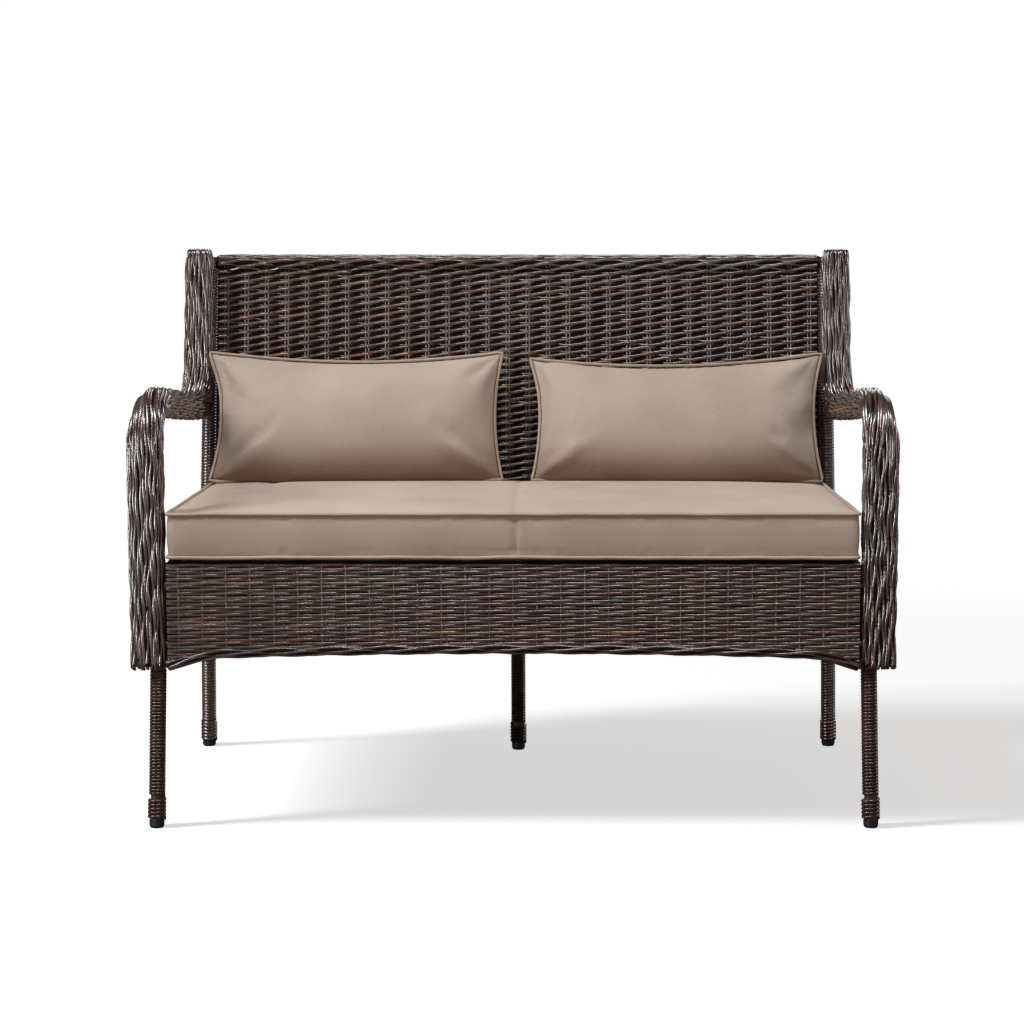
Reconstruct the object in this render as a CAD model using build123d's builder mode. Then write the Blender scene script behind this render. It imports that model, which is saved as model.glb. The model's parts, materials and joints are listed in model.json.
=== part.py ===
"""Wicker patio loveseat: steel tube frame, woven covers, bench cushion and two lumbar pillows.

X runs across the seat, Y from front to back and Z up, in millimetres. The origin lies on the
floor under the middle of the loveseat. Side -1 is the left of someone who faces it.
"""
from build123d import *
import math
import os

os.makedirs("parts", exist_ok=True)

# Overall sizes
overall_width = 1220
wing_rise = 22.5          # wing tops above the back's top rail
back_rail_z = 891.5
seat_rail_z = 421
front_reach = 26          # cushion's front edge ahead of the front leg axis
knee_setback = 522        # rear legs bend here, at seat rail height, behind the front legs
back_lean_run = 76    # back rail behind the front legs
rear_foot_splay = 69
centre_foot_splay = 39

# Steel stock
tube_r = 10
tube_wall = 1.2
bar_r = 8
bar_wall = 1.2
rod_r = 5
rod_clear = 0.15          # wicker stands this far off the steel inside it

# Wicker
wrap_t = 3.5              # cord wound on a tube
weave_t = 9               # woven panel
rod_wrap_t = 3.5          # border rolled round a rod
binding_t = 5.5           # thicker winding above each foot

# Arm loop: a woven strip round two tubes, from the front post over the arm and up the wing
strip_t = 40
strip_width_front = 54
strip_width_rear = 47
strip_round = 14
strip_side_wall = 3
post_bottom_z = 265
arm_front_z = 692         # arm centre line carried forward to the front leg axis
arm_drop = 54             # fall of the arm centre line over its run
arm_run = 480
crown_bend_r = 70
elbow_bend_r = 50
wing_inset = 61           # wing's inner face inside the arm's outer face
wing_gap = 0.5            # wing in front of the wound rear post
loop_end_cover = 6        # wicker over the ends of the loop's tubes
tie_r = 4
tie_setback = 260
weld_clear = 0.1

# Legs
front_leg_splay = 8
rear_knee_inset = 49      # rear tubes inside the arm's outer face, at three heights
rear_top_inset = 54
rear_foot_inset = 35
leg_bend_r = 120
front_bend_r = 60
cap_h = 12
cap_r = 12.2
cap_tip_r = 7
cap_plug_h = 28
cap_plug_clear = 0.15
cap_below = 3             # rubber that the flat sole cuts away
cap_round_r = 10
binding_h = 39
layer_gap = 0.3           # one winding ends and the next begins

# Seat frame and aprons
front_rail_setback = -4
apron_end_gap = 4         # between the apron's end and the front post
apron_end_z = 267
apron_shoulder_z = 289
apron_middle_z = 296
apron_shoulder_inset = 99
side_apron_z = 285
rear_apron_depth = 60
deck_t = 5
seat_seam = 0.2           # woven deck over the steel under it
drop_clear = 0.2

# Back frame
back_lower_z = 455
back_rod_r = 4

# Fasteners and brackets
bolt_r = 3
bolt_hole_r = 3.3
bolt_head_r = 5.25
bolt_head_h = 3.3
bolt_grip = 6             # thread held in the far tube
washer_r = 6.5
washer_t = 1.5
spacer_r = 6
front_bolt_heights = (395, 300)
wing_bolt_drops = (224, 94)  # under the wing top
rear_bolt_drop = 22       # under the rear seat rail
bracket_t = 3
bracket_front = 7
bracket_rear = 20
bracket_up = 12
bracket_down = 34
bolt_seat_clear = 0.05

# Seat cushion
cushion_post_gap = 8
cushion_knee_gap = 30     # rear edge behind the front leg axis
cushion_corner_r = 26
cushion_bottom_z = 436.5
cushion_low_seam_z = 444
cushion_top_seam_z = 512
cushion_crown_z = 521
cushion_fall = 9          # the top drops this much towards the back, where the pillows press it
piping_r = 3
piping_clear = 0.2
cover_t = 1.5
boxing_bow = 2            # the boxing swells between its two seams

# Lumbar pillows
pillow_wing_gap = 5.5
pillow_middle_gap = 47
pillow_half_h = 120
pillow_half_t = 70
pillow_side_dip = 14      # how far a short side draws in
pillow_top_dip = 18
pillow_tilt = 18
pillow_back_gap = 79      # pillow's middle ahead of the back's middle plane, at the same height
pillow_rise = 111.3       # pillow's middle above the cushion's top seam
pillow_piping_r = 2.5
pillow_cover_t = 1.5
pillow_corner_cut = 4.5   # fabric corner tucked behind the piping
pillow_edge_gap = 1.5     # fabric edge inside the piping

# Places worked out from the sizes
wrap_r = tube_r + wrap_t
half_strip = strip_t / 2
rear_foot_setback = knee_setback + rear_foot_splay
centre_foot_setback = knee_setback + centre_foot_splay
back_top_setback = knee_setback + back_lean_run
cushion_setback = knee_setback - cushion_knee_gap
lean_tan = (back_top_setback - knee_setback) / (back_rail_z - seat_rail_z)
lean = math.atan(lean_tan)
rear_reach = knee_setback + lean_tan * (back_rail_z + tube_r - seat_rail_z) + wrap_r * math.cos(lean)
overall_depth = front_reach + rear_reach
leg_y = front_reach - overall_depth / 2
knee_y = leg_y + knee_setback
back_top_y = leg_y + back_top_setback
rear_foot_y = leg_y + rear_foot_setback
centre_foot_y = leg_y + centre_foot_setback
rail_y = leg_y + front_rail_setback
arm_slope = arm_drop / arm_run
wing_offset = (wrap_r + half_strip + wing_gap) / math.cos(lean)
elbow_y = (knee_y - wing_offset + lean_tan * (arm_front_z + arm_slope * leg_y - seat_rail_z)) / (
    1 + lean_tan * arm_slope
)
elbow_z = arm_front_z - arm_slope * (elbow_y - leg_y)
wing_top_z = back_rail_z + wing_rise
wing_bolt_heights = [wing_top_z - drop for drop in wing_bolt_drops]
wing_z = wing_top_z - half_strip * math.sin(lean)
wing_y = knee_y - wing_offset + lean_tan * (wing_z - seat_rail_z)
post_out_x = overall_width / 2
wing_inner_rear = post_out_x - wing_inset
rear_knee_x = post_out_x - rear_knee_inset
rear_top_x = post_out_x - rear_top_inset
rear_foot_x = post_out_x - rear_foot_inset
post_in_x = post_out_x - strip_width_front
wing_out_x = wing_inner_rear + strip_width_rear
leg_x = post_in_x + strip_side_wall + tube_r
apron_half = post_in_x - apron_end_gap
apron_shoulder_x = apron_half - apron_shoulder_inset
cushion_half = post_in_x - cushion_post_gap
pillow_half = (wing_inner_rear - pillow_wing_gap - pillow_middle_gap / 2) / 2
pillow_pitch = pillow_half * 2 + pillow_middle_gap
pillow_centre_z = cushion_top_seam_z + pillow_rise
pillow_setback = knee_setback + lean_tan * (pillow_centre_z - seat_rail_z) - pillow_back_gap
side_rail_x = apron_half - wrap_r
drop_x = apron_half - bar_r
rod_y = leg_y - bar_r - rod_r - drop_clear
apron_back_y = rod_y + weave_t / 2
side_panel_x = apron_half - weave_t / 2
rear_rail_half = rear_knee_x - wrap_r - layer_gap - bracket_t
deck_top_z = seat_rail_z + tube_r + seat_seam + deck_t
cross_bar_z = seat_rail_z + tube_r - bar_r
cross_bar_places = (-apron_half / 2, 0, apron_half / 2)
front_foot_x = leg_x + front_leg_splay
sides = (("left", -1), ("right", 1))


def leaning_y(z):
    """Y of the back's middle plane at a height."""
    return knee_y + lean_tan * (z - seat_rail_z)


def share_along(start, end, y):
    """Value that runs evenly from the front leg to the wing top, at a depth y."""
    return start + (end - start) * (y - leg_y) / (wing_y - leg_y)


def bent_path(points, radii):
    """Straight runs through the points, joined by tangent arcs."""
    with BuildLine() as line:
        FilletPolyline(*points, radius=radii)
    return line.wire()


def ring_along(path, outer_r, inner_r):
    """Adds a round tube along a path to the part being built."""
    with BuildSketch(Plane(origin=path @ 0, z_dir=path % 0)) as ring:
        Circle(outer_r)
        if inner_r:
            Circle(inner_r, mode=Mode.SUBTRACT)
    sweep(ring.sketch, path=path)


def bore_along(path, radius):
    """Cuts a round channel along a path from the part being built."""
    with BuildSketch(Plane(origin=path @ 0, z_dir=path % 0)) as disc:
        Circle(radius)
    sweep(disc.sketch, path=path, mode=Mode.SUBTRACT)


def rod_between(start, end, radius, mode=Mode.ADD):
    """Adds or cuts a straight round rod between two points."""
    run = Vector(end) - Vector(start)
    with BuildSketch(Plane(origin=start, z_dir=run)) as disc:
        Circle(radius)
    extrude(disc.sketch, amount=run.length, mode=mode)


def rod_across(y, z, radius, half, mode=Mode.ADD):
    """Adds or cuts a round rod that runs across the loveseat."""
    rod_between((-half, y, z), (half, y, z), radius, mode)


def save(piece, name):
    piece.label = name
    export_step(piece, f"parts/{name}.step")


def loop_points(front_x, rear_x, first_z, last_z):
    """Corners of a line that follows the arm loop in an upright plane."""
    last_y = knee_y - wing_offset + lean_tan * (last_z - seat_rail_z)
    return [
        (front_x, leg_y, first_z),
        (front_x, leg_y, arm_front_z),
        (share_along(front_x, rear_x, elbow_y), elbow_y, elbow_z),
        (share_along(front_x, rear_x, last_y), last_y, last_z),
    ]


def leg_frames():
    """Name, knee and foot of each of the five legs."""
    frames = []
    for side, sx in sides:
        frames.append((f"front_leg_{side}", (sx * leg_x, leg_y, post_bottom_z), (sx * front_foot_x, leg_y, 0)))
        rear_knee = (sx * rear_knee_x, knee_y, seat_rail_z)
        frames.append((f"rear_leg_{side}", rear_knee, (sx * rear_foot_x, rear_foot_y, 0)))
    frames.append(("centre_leg", (0, knee_y, seat_rail_z), (0, centre_foot_y, 0)))
    return frames


def on_leg(knee, foot, distance):
    """Point on a leg's axis, measured up from the floor."""
    run = Vector(knee) - Vector(foot)
    return Vector(foot) + run.normalized() * distance


def rear_leg_at(sx, z):
    """Point on a rear leg's axis below the knee."""
    share = z / seat_rail_z
    x = rear_foot_x + (rear_knee_x - rear_foot_x) * share
    return Vector(sx * x, rear_foot_y + (knee_y - rear_foot_y) * share, z)


def rear_path(sx, low_z, high_z):
    """Axis of a rear leg and its back post between two heights."""
    low = rear_leg_at(sx, low_z)
    rise = (high_z - seat_rail_z) / (back_rail_z - seat_rail_z)
    high_x = rear_knee_x + (rear_top_x - rear_knee_x) * rise
    knee = (sx * rear_knee_x, knee_y, seat_rail_z)
    return bent_path([low, knee, (sx * high_x, leaning_y(high_z), high_z)], [leg_bend_r])


def back_post_at(sx, z):
    """Point on a back post's axis above the knee."""
    rise = (z - seat_rail_z) / (back_rail_z - seat_rail_z)
    return Vector(sx * (rear_knee_x + (rear_top_x - rear_knee_x) * rise), leaning_y(z), z)


# Bolts: head end, direction of the shank, and length under the head
back_normal = Vector(0, math.cos(lean), -math.sin(lean))
across = tube_r - tube_wall
bolt_lines = []
for side, sx in sides:
    for z in front_bolt_heights:
        head = Vector(sx * (drop_x - bar_r - washer_t - bolt_seat_clear), leg_y, z)
        bolt_lines.append((side, "front", head, Vector(sx, 0, 0), leg_x - abs(head.X) - across + bolt_grip))
    low = rear_leg_at(sx, seat_rail_z - rear_bolt_drop)
    head = Vector(sx * (rear_rail_half - washer_t - bolt_seat_clear), low.Y, low.Z)
    bolt_lines.append((side, "rear", head, Vector(sx, 0, 0), abs(low.X) - abs(head.X) - across + bolt_grip))
    for z in wing_bolt_heights:
        post = back_post_at(sx, z)
        head = post + back_normal * (wrap_r + washer_t + bolt_seat_clear)
        reach = wrap_r * 2 + washer_t + wing_gap + half_strip - across + bolt_grip
        bolt_lines.append((side, "wing", head, back_normal * -1, reach))


def bolt_holes(side, group):
    """Cuts the holes of one side's bolts from the part being built."""
    for bolt_side, bolt_group, head, direction, length in bolt_lines:
        if bolt_side == side and bolt_group == group:
            rod_between(head, head + direction * length, bolt_hole_r, Mode.SUBTRACT)


# Arm loops: two steel tubes side by side, welded ties, and the woven cover round them
for side, sx in sides:
    outer_front_x = sx * (post_out_x - strip_side_wall - tube_r)
    outer_rear_x = sx * (wing_out_x - strip_side_wall - tube_r)
    inner_rear_x = sx * (wing_inner_rear + strip_side_wall + tube_r)
    tube_top_z = wing_z - loop_end_cover
    inner_points = loop_points(sx * leg_x, inner_rear_x, post_bottom_z, tube_top_z)
    outer_points = loop_points(outer_front_x, outer_rear_x, post_bottom_z + loop_end_cover, tube_top_z)
    outer_path = bent_path(outer_points, [crown_bend_r, elbow_bend_r])
    inner_path = bent_path(inner_points, [crown_bend_r, elbow_bend_r])
    foot = (sx * front_foot_x, leg_y, 0)
    tube_foot = on_leg(inner_points[0], foot, cap_h)
    leg_path = bent_path([tube_foot] + inner_points, [front_bend_r, crown_bend_r, elbow_bend_r])

    with BuildPart() as front_leg:
        ring_along(leg_path, tube_r, tube_r - tube_wall)
        bolt_holes(side, "front")
        bolt_holes(side, "wing")
    save(front_leg.part, f"front_leg_{side}")

    with BuildPart() as arm_loop:
        ring_along(outer_path, tube_r, tube_r - tube_wall)
    save(arm_loop.part, f"arm_loop_{side}")

    tie_places = [(leg_y, z) for z in front_bolt_heights]
    tie_places.append((leg_y + tie_setback, arm_front_z - arm_slope * tie_setback))
    tie_ends = []
    for y, z in tie_places:
        start_x = share_along(sx * leg_x, inner_rear_x, y) + sx * (tube_r + weld_clear)
        end_x = share_along(outer_front_x, outer_rear_x, y) - sx * (tube_r + weld_clear)
        tie_ends.append(((start_x, y, z), (end_x, y, z)))
    with BuildPart() as arm_ties:
        for start, end in tie_ends:
            rod_between(start, end, tie_r)
    save(arm_ties.part, f"arm_ties_{side}")

    with BuildPart() as arm_weave:
        with BuildSketch(Plane.YZ):
            with BuildLine():
                FilletPolyline(
                    (leg_y, post_bottom_z),
                    (leg_y, arm_front_z),
                    (elbow_y, elbow_z),
                    (wing_y, wing_z),
                    radius=[crown_bend_r, elbow_bend_r],
                )
            trace(line_width=strip_t)
        extrude(amount=sx * overall_width)
        front_y = leg_y - strip_t
        rear_y = wing_y + strip_t
        inner_x = [share_along(sx * post_in_x, sx * wing_inner_rear, y) for y in (front_y, rear_y)]
        outer_x = [share_along(sx * post_out_x, sx * wing_out_x, y) for y in (front_y, rear_y)]
        with BuildSketch():
            with BuildLine():
                Polyline(
                    (inner_x[0], front_y),
                    (inner_x[1], rear_y),
                    (outer_x[1], rear_y),
                    (outer_x[0], front_y),
                    close=True,
                )
            make_face()
        extrude(amount=overall_width, mode=Mode.INTERSECT)
        cheeks = arm_weave.faces().filter_by(lambda face: abs(face.normal_at().X) > math.cos(lean))
        lowest = arm_weave.faces().sort_by(Axis.Z)[0]
        foot_edges = lowest.edges()
        long_edges = [edge for edge in cheeks.edges() if edge not in foot_edges]
        fillet(long_edges, radius=strip_round)
        bore_along(outer_path, tube_r + rod_clear)
        bore_along(inner_path, tube_r + rod_clear)
        for start, end in tie_ends:
            rod_between(start, end, tie_r + rod_clear, Mode.SUBTRACT)
        bolt_holes(side, "front")
        bolt_holes(side, "wing")
    save(arm_weave.part, f"arm_weave_{side}")

# Seat frame: four rails, cross bars, drop tubes at the front corners and the apron's arched rod
front_rail_axis = ((-apron_half, rail_y, seat_rail_z), (apron_half, rail_y, seat_rail_z))
with BuildPart() as seat_front_rail:
    rod_between(*front_rail_axis, tube_r)
    rod_between(*front_rail_axis, tube_r - tube_wall, Mode.SUBTRACT)
save(seat_front_rail.part, "seat_front_rail")

with BuildPart() as seat_rear_rail:
    rod_across(knee_y, seat_rail_z, tube_r, rear_rail_half)
    rod_across(knee_y, seat_rail_z, tube_r - tube_wall, rear_rail_half, Mode.SUBTRACT)
save(seat_rear_rail.part, "seat_rear_rail")

for side, sx in sides:
    with BuildPart() as seat_side_rail:
        ends = ((sx * side_rail_x, rail_y, seat_rail_z), (sx * side_rail_x, knee_y, seat_rail_z))
        rod_between(*ends, tube_r)
        rod_between(*ends, tube_r - tube_wall, Mode.SUBTRACT)
        rod_across(rail_y, seat_rail_z, tube_r + weld_clear, overall_width, Mode.SUBTRACT)
        rod_across(knee_y, seat_rail_z, tube_r + weld_clear, overall_width, Mode.SUBTRACT)
    save(seat_side_rail.part, f"seat_side_rail_{side}")

    with BuildPart() as apron_drop_tube:
        ends = ((sx * drop_x, leg_y, apron_end_z), (sx * drop_x, leg_y, seat_rail_z))
        rod_between(*ends, bar_r)
        rod_between(*ends, bar_r - bar_wall, Mode.SUBTRACT)
        rod_across(rail_y, seat_rail_z, tube_r + weld_clear, overall_width, Mode.SUBTRACT)
        rod_between((sx * side_rail_x, leg_y - tube_r, seat_rail_z), (sx * side_rail_x, knee_y, seat_rail_z),
                    tube_r, Mode.SUBTRACT)
        bolt_holes(side, "front")
    save(apron_drop_tube.part, f"apron_drop_tube_{side}")

    with BuildPart() as side_apron_rod:
        rear = rear_leg_at(sx, side_apron_z)
        rod_between((sx * side_panel_x, leg_y + bar_r + drop_clear, side_apron_z),
                    (sx * side_panel_x, rear.Y - wrap_r - layer_gap * 2, side_apron_z), rod_r)
    save(side_apron_rod.part, f"side_apron_rod_{side}")

with BuildPart() as seat_cross_bars:
    for x in cross_bar_places:
        ends = ((x, rail_y, cross_bar_z), (x, knee_y, cross_bar_z))
        rod_between(*ends, bar_r)
        rod_between(*ends, bar_r - bar_wall, Mode.SUBTRACT)
    rod_across(rail_y, seat_rail_z, tube_r + weld_clear, overall_width, Mode.SUBTRACT)
    rod_across(knee_y, seat_rail_z, tube_r + weld_clear, overall_width, Mode.SUBTRACT)
save(seat_cross_bars.part, "seat_cross_bars")

rod_plane = Plane.XZ.offset(-rod_y)
with BuildLine(rod_plane) as arch:
    crest = ThreePointArc(
        (-apron_shoulder_x, apron_shoulder_z), (0, apron_middle_z), (apron_shoulder_x, apron_shoulder_z)
    )
    TangentArc((apron_shoulder_x, apron_shoulder_z), (apron_half, apron_end_z), tangent=crest % 1)
    TangentArc((-apron_shoulder_x, apron_shoulder_z), (-apron_half, apron_end_z), tangent=(crest % 0) * -1)
arch_path = Wire(arch.edges())
with BuildPart() as apron_arch_rod:
    ring_along(arch_path, rod_r, 0)
save(apron_arch_rod.part, "apron_arch_rod")

with BuildPart() as seat_brackets:
    for side, sx in sides:
        with BuildSketch(Plane.YZ.offset(sx * rear_rail_half)):
            with Locations((knee_y - bracket_front, seat_rail_z - bracket_down)):
                Rectangle(
                    bracket_front + bracket_rear, bracket_down + bracket_up, align=(Align.MIN, Align.MIN)
                )
        extrude(amount=sx * bracket_t)
        rod_between((sx * side_rail_x, rail_y, seat_rail_z), (sx * side_rail_x, knee_y, seat_rail_z),
                    tube_r + rod_clear, Mode.SUBTRACT)
        bolt_holes(side, "rear")
save(seat_brackets.part, "seat_brackets")


# Woven aprons, rolled over their rails and rods
def rail_rolls(y):
    """Cuts a rail's own bore and the ends of the cross bars from a woven roll."""
    rod_across(y, seat_rail_z, tube_r + rod_clear, overall_width, Mode.SUBTRACT)
    for x in cross_bar_places:
        rod_between((x, rail_y, cross_bar_z), (x, knee_y, cross_bar_z), bar_r + rod_clear, Mode.SUBTRACT)


def corner_notch(sx, middle_y):
    """Parts a woven roll where a side rail and a drop tube come to the corner."""
    with BuildSketch() as notch:
        with Locations((sx * (side_rail_x - tube_r - rod_clear + strip_t), middle_y)):
            Rectangle(strip_t * 2, strip_t)
    extrude(notch.sketch, amount=overall_width, mode=Mode.SUBTRACT)


with BuildPart() as front_apron:
    with BuildSketch(Plane.XZ.offset(-apron_back_y)):
        with BuildLine():
            crest_low = ThreePointArc(
                (-apron_shoulder_x, apron_shoulder_z), (0, apron_middle_z), (apron_shoulder_x, apron_shoulder_z)
            )
            TangentArc((apron_shoulder_x, apron_shoulder_z), (apron_half, apron_end_z), tangent=crest_low % 1)
            TangentArc(
                (-apron_shoulder_x, apron_shoulder_z), (-apron_half, apron_end_z), tangent=(crest_low % 0) * -1
            )
            Polyline(
                (-apron_half, apron_end_z), (-apron_half, seat_rail_z), (apron_half, seat_rail_z),
                (apron_half, apron_end_z),
            )
        make_face()
    extrude(amount=weave_t)
    rod_across(rail_y, seat_rail_z, wrap_r, apron_half)
    ring_along(arch_path, rod_r + rod_wrap_t, 0)
    bore_along(arch_path, rod_r + rod_clear)
    rail_rolls(rail_y)
    for side, sx in sides:
        with BuildSketch(Plane.YZ.offset(sx * apron_half)):
            with Locations((leg_y, seat_rail_z / 2)):
                Rectangle(strip_t * 2, seat_rail_z)
        extrude(amount=sx * strip_t, mode=Mode.SUBTRACT)
        corner_notch(sx, leg_y - bar_r - rod_clear + strip_t / 2)
save(front_apron.part, "front_apron")

for side, sx in sides:
    roll_front_y = rail_y + wrap_r + layer_gap
    roll_rear_y = knee_y - wrap_r - layer_gap
    panel_front_y = leg_y + bar_r + layer_gap
    with BuildPart() as side_apron:
        with BuildSketch(Plane.YZ.offset(sx * (apron_half - weave_t))):
            with BuildLine():
                low = rear_leg_at(sx, side_apron_z)
                Polyline(
                    (panel_front_y, side_apron_z),
                    (low.Y - wrap_r - layer_gap * 2, side_apron_z),
                    (roll_rear_y, seat_rail_z),
                    (panel_front_y, seat_rail_z),
                    close=True,
                )
            make_face()
        extrude(amount=sx * weave_t)
        rod_between((sx * side_rail_x, roll_front_y, seat_rail_z),
                    (sx * side_rail_x, roll_rear_y, seat_rail_z),
                    wrap_r)
        rod_between((sx * side_panel_x, panel_front_y, side_apron_z),
                    (sx * side_panel_x, low.Y - wrap_r - layer_gap * 2, side_apron_z), rod_r + rod_wrap_t)
        rod_between((sx * side_rail_x, rail_y, seat_rail_z), (sx * side_rail_x, knee_y, seat_rail_z),
                    tube_r + rod_clear, Mode.SUBTRACT)
        rod_between((sx * side_panel_x, leg_y, side_apron_z), (sx * side_panel_x, knee_y * 2, side_apron_z),
                    rod_r + rod_clear, Mode.SUBTRACT)
        rod_across(rail_y, seat_rail_z, wrap_r + rod_clear, overall_width, Mode.SUBTRACT)
        rod_between((sx * drop_x, leg_y, 0), (sx * drop_x, leg_y, seat_rail_z), bar_r + rod_clear, Mode.SUBTRACT)
    save(side_apron.part, f"side_apron_{side}")

centre_axis = ((0, knee_y, seat_rail_z), (0, centre_foot_y, 0))
with BuildPart() as rear_apron:
    with BuildSketch(Plane.XZ.offset(-(knee_y + wrap_r + drop_clear))):
        with Locations((0, seat_rail_z - rear_apron_depth / 2)):
            Rectangle((rear_rail_half - washer_t - bolt_head_h - layer_gap) * 2, rear_apron_depth)
    extrude(amount=weave_t)
    with BuildSketch(Plane.XY.offset(seat_rail_z)):
        with Locations((0, knee_y)):
            Rectangle((wrap_r + layer_gap) * 2, strip_t)
    extrude(amount=-seat_rail_z, mode=Mode.SUBTRACT)
    rod_across(knee_y, seat_rail_z, wrap_r, rear_rail_half)
    rail_rolls(knee_y)
    rod_between(*centre_axis, tube_r + rod_clear, Mode.SUBTRACT)
    for side, sx in sides:
        corner_notch(sx, knee_y - strip_t / 2)
save(rear_apron.part, "rear_apron")

deck_front_y = rail_y + wrap_r + layer_gap
deck_rear_y = knee_y - wrap_r - layer_gap
with BuildPart() as seat_deck:
    with BuildSketch(Plane.XY.offset(deck_top_z - deck_t)):
        with Locations((0, (deck_front_y + deck_rear_y) / 2)):
            Rectangle((side_rail_x - wrap_r - layer_gap) * 2, deck_rear_y - deck_front_y)
    extrude(amount=deck_t)
save(seat_deck.part, "seat_deck")

# Back frame: rear legs with their posts, two rails and upright rods, and the woven back
tube_start_z = cap_h
for side, sx in sides:
    with BuildPart() as rear_leg:
        ring_along(rear_path(sx, tube_start_z, back_rail_z + tube_r), tube_r, tube_r - tube_wall)
        bolt_holes(side, "rear")
        bolt_holes(side, "wing")
    save(rear_leg.part, f"rear_leg_{side}")


def back_rail(y, z, name):
    with BuildPart() as rail:
        rod_across(y, z, tube_r, rear_top_x)
        rod_across(y, z, tube_r - tube_wall, rear_top_x, Mode.SUBTRACT)
        for side, sx in sides:
            rod_between(back_post_at(sx, seat_rail_z), back_post_at(sx, wing_top_z), tube_r, Mode.SUBTRACT)
    save(rail.part.solids().sort_by(SortBy.VOLUME)[-1], name)


back_lower_y = leaning_y(back_lower_z)
back_rail(back_top_y, back_rail_z, "back_top_rail")
back_rail(back_lower_y, back_lower_z, "back_lower_rail")

back_rod_places = (-rear_top_x / 2, 0, rear_top_x / 2)
with BuildPart() as back_rods:
    for x in back_rod_places:
        rod_between((x, back_lower_y, back_lower_z), (x, back_top_y, back_rail_z), back_rod_r)
    rod_across(back_top_y, back_rail_z, tube_r, overall_width, Mode.SUBTRACT)
    rod_across(back_lower_y, back_lower_z, tube_r, overall_width, Mode.SUBTRACT)
save(back_rods.part, "back_rods")

back_plane = Plane(
    origin=(0, back_lower_y, back_lower_z), x_dir=(1, 0, 0), z_dir=(0, -math.cos(lean), math.sin(lean))
)
back_height = (back_rail_z - back_lower_z) / math.cos(lean)


def back_channels(rail_bore_r):
    """Cuts the rails, the upright rods and the wound posts from a woven piece of the back."""
    rod_across(back_top_y, back_rail_z, rail_bore_r, overall_width, Mode.SUBTRACT)
    rod_across(back_lower_y, back_lower_z, rail_bore_r, overall_width, Mode.SUBTRACT)
    for x in back_rod_places:
        rod_between((x, back_lower_y, back_lower_z), (x, back_top_y, back_rail_z), back_rod_r + rod_clear,
                    Mode.SUBTRACT)
    for side, sx in sides:
        rod_between(back_post_at(sx, seat_rail_z), back_post_at(sx, overall_width), wrap_r + layer_gap,
                    Mode.SUBTRACT)


with BuildPart() as back_weave:
    with BuildSketch(back_plane.offset(-weave_t / 2)):
        with Locations((0, back_height / 2)):
            Rectangle(rear_top_x * 2, back_height)
    extrude(amount=weave_t)
    back_channels(wrap_r + layer_gap)
save(back_weave.part.solids().sort_by(SortBy.VOLUME)[-1], "back_weave")

rolls = (("back_top_roll", back_top_y, back_rail_z), ("back_lower_roll", back_lower_y, back_lower_z))
for name, y, z in rolls:
    with BuildPart() as back_roll:
        rod_across(y, z, wrap_r, rear_top_x - tube_r)
        back_channels(tube_r + rod_clear)
    save(back_roll.part.solids().sort_by(SortBy.VOLUME)[-1], name)

# Centre leg under the rear rail
with BuildPart() as centre_leg:
    foot_end = on_leg(*centre_axis, cap_h)
    rod_between(foot_end, centre_axis[0], tube_r)
    rod_between(foot_end, centre_axis[0], tube_r - tube_wall, Mode.SUBTRACT)
    rod_across(knee_y, seat_rail_z, tube_r, overall_width, Mode.SUBTRACT)
    rod_between((0, rail_y, cross_bar_z), (0, knee_y, cross_bar_z), bar_r, Mode.SUBTRACT)
save(centre_leg.part.solids().sort_by(SortBy.VOLUME)[-1], "centre_leg")

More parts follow.
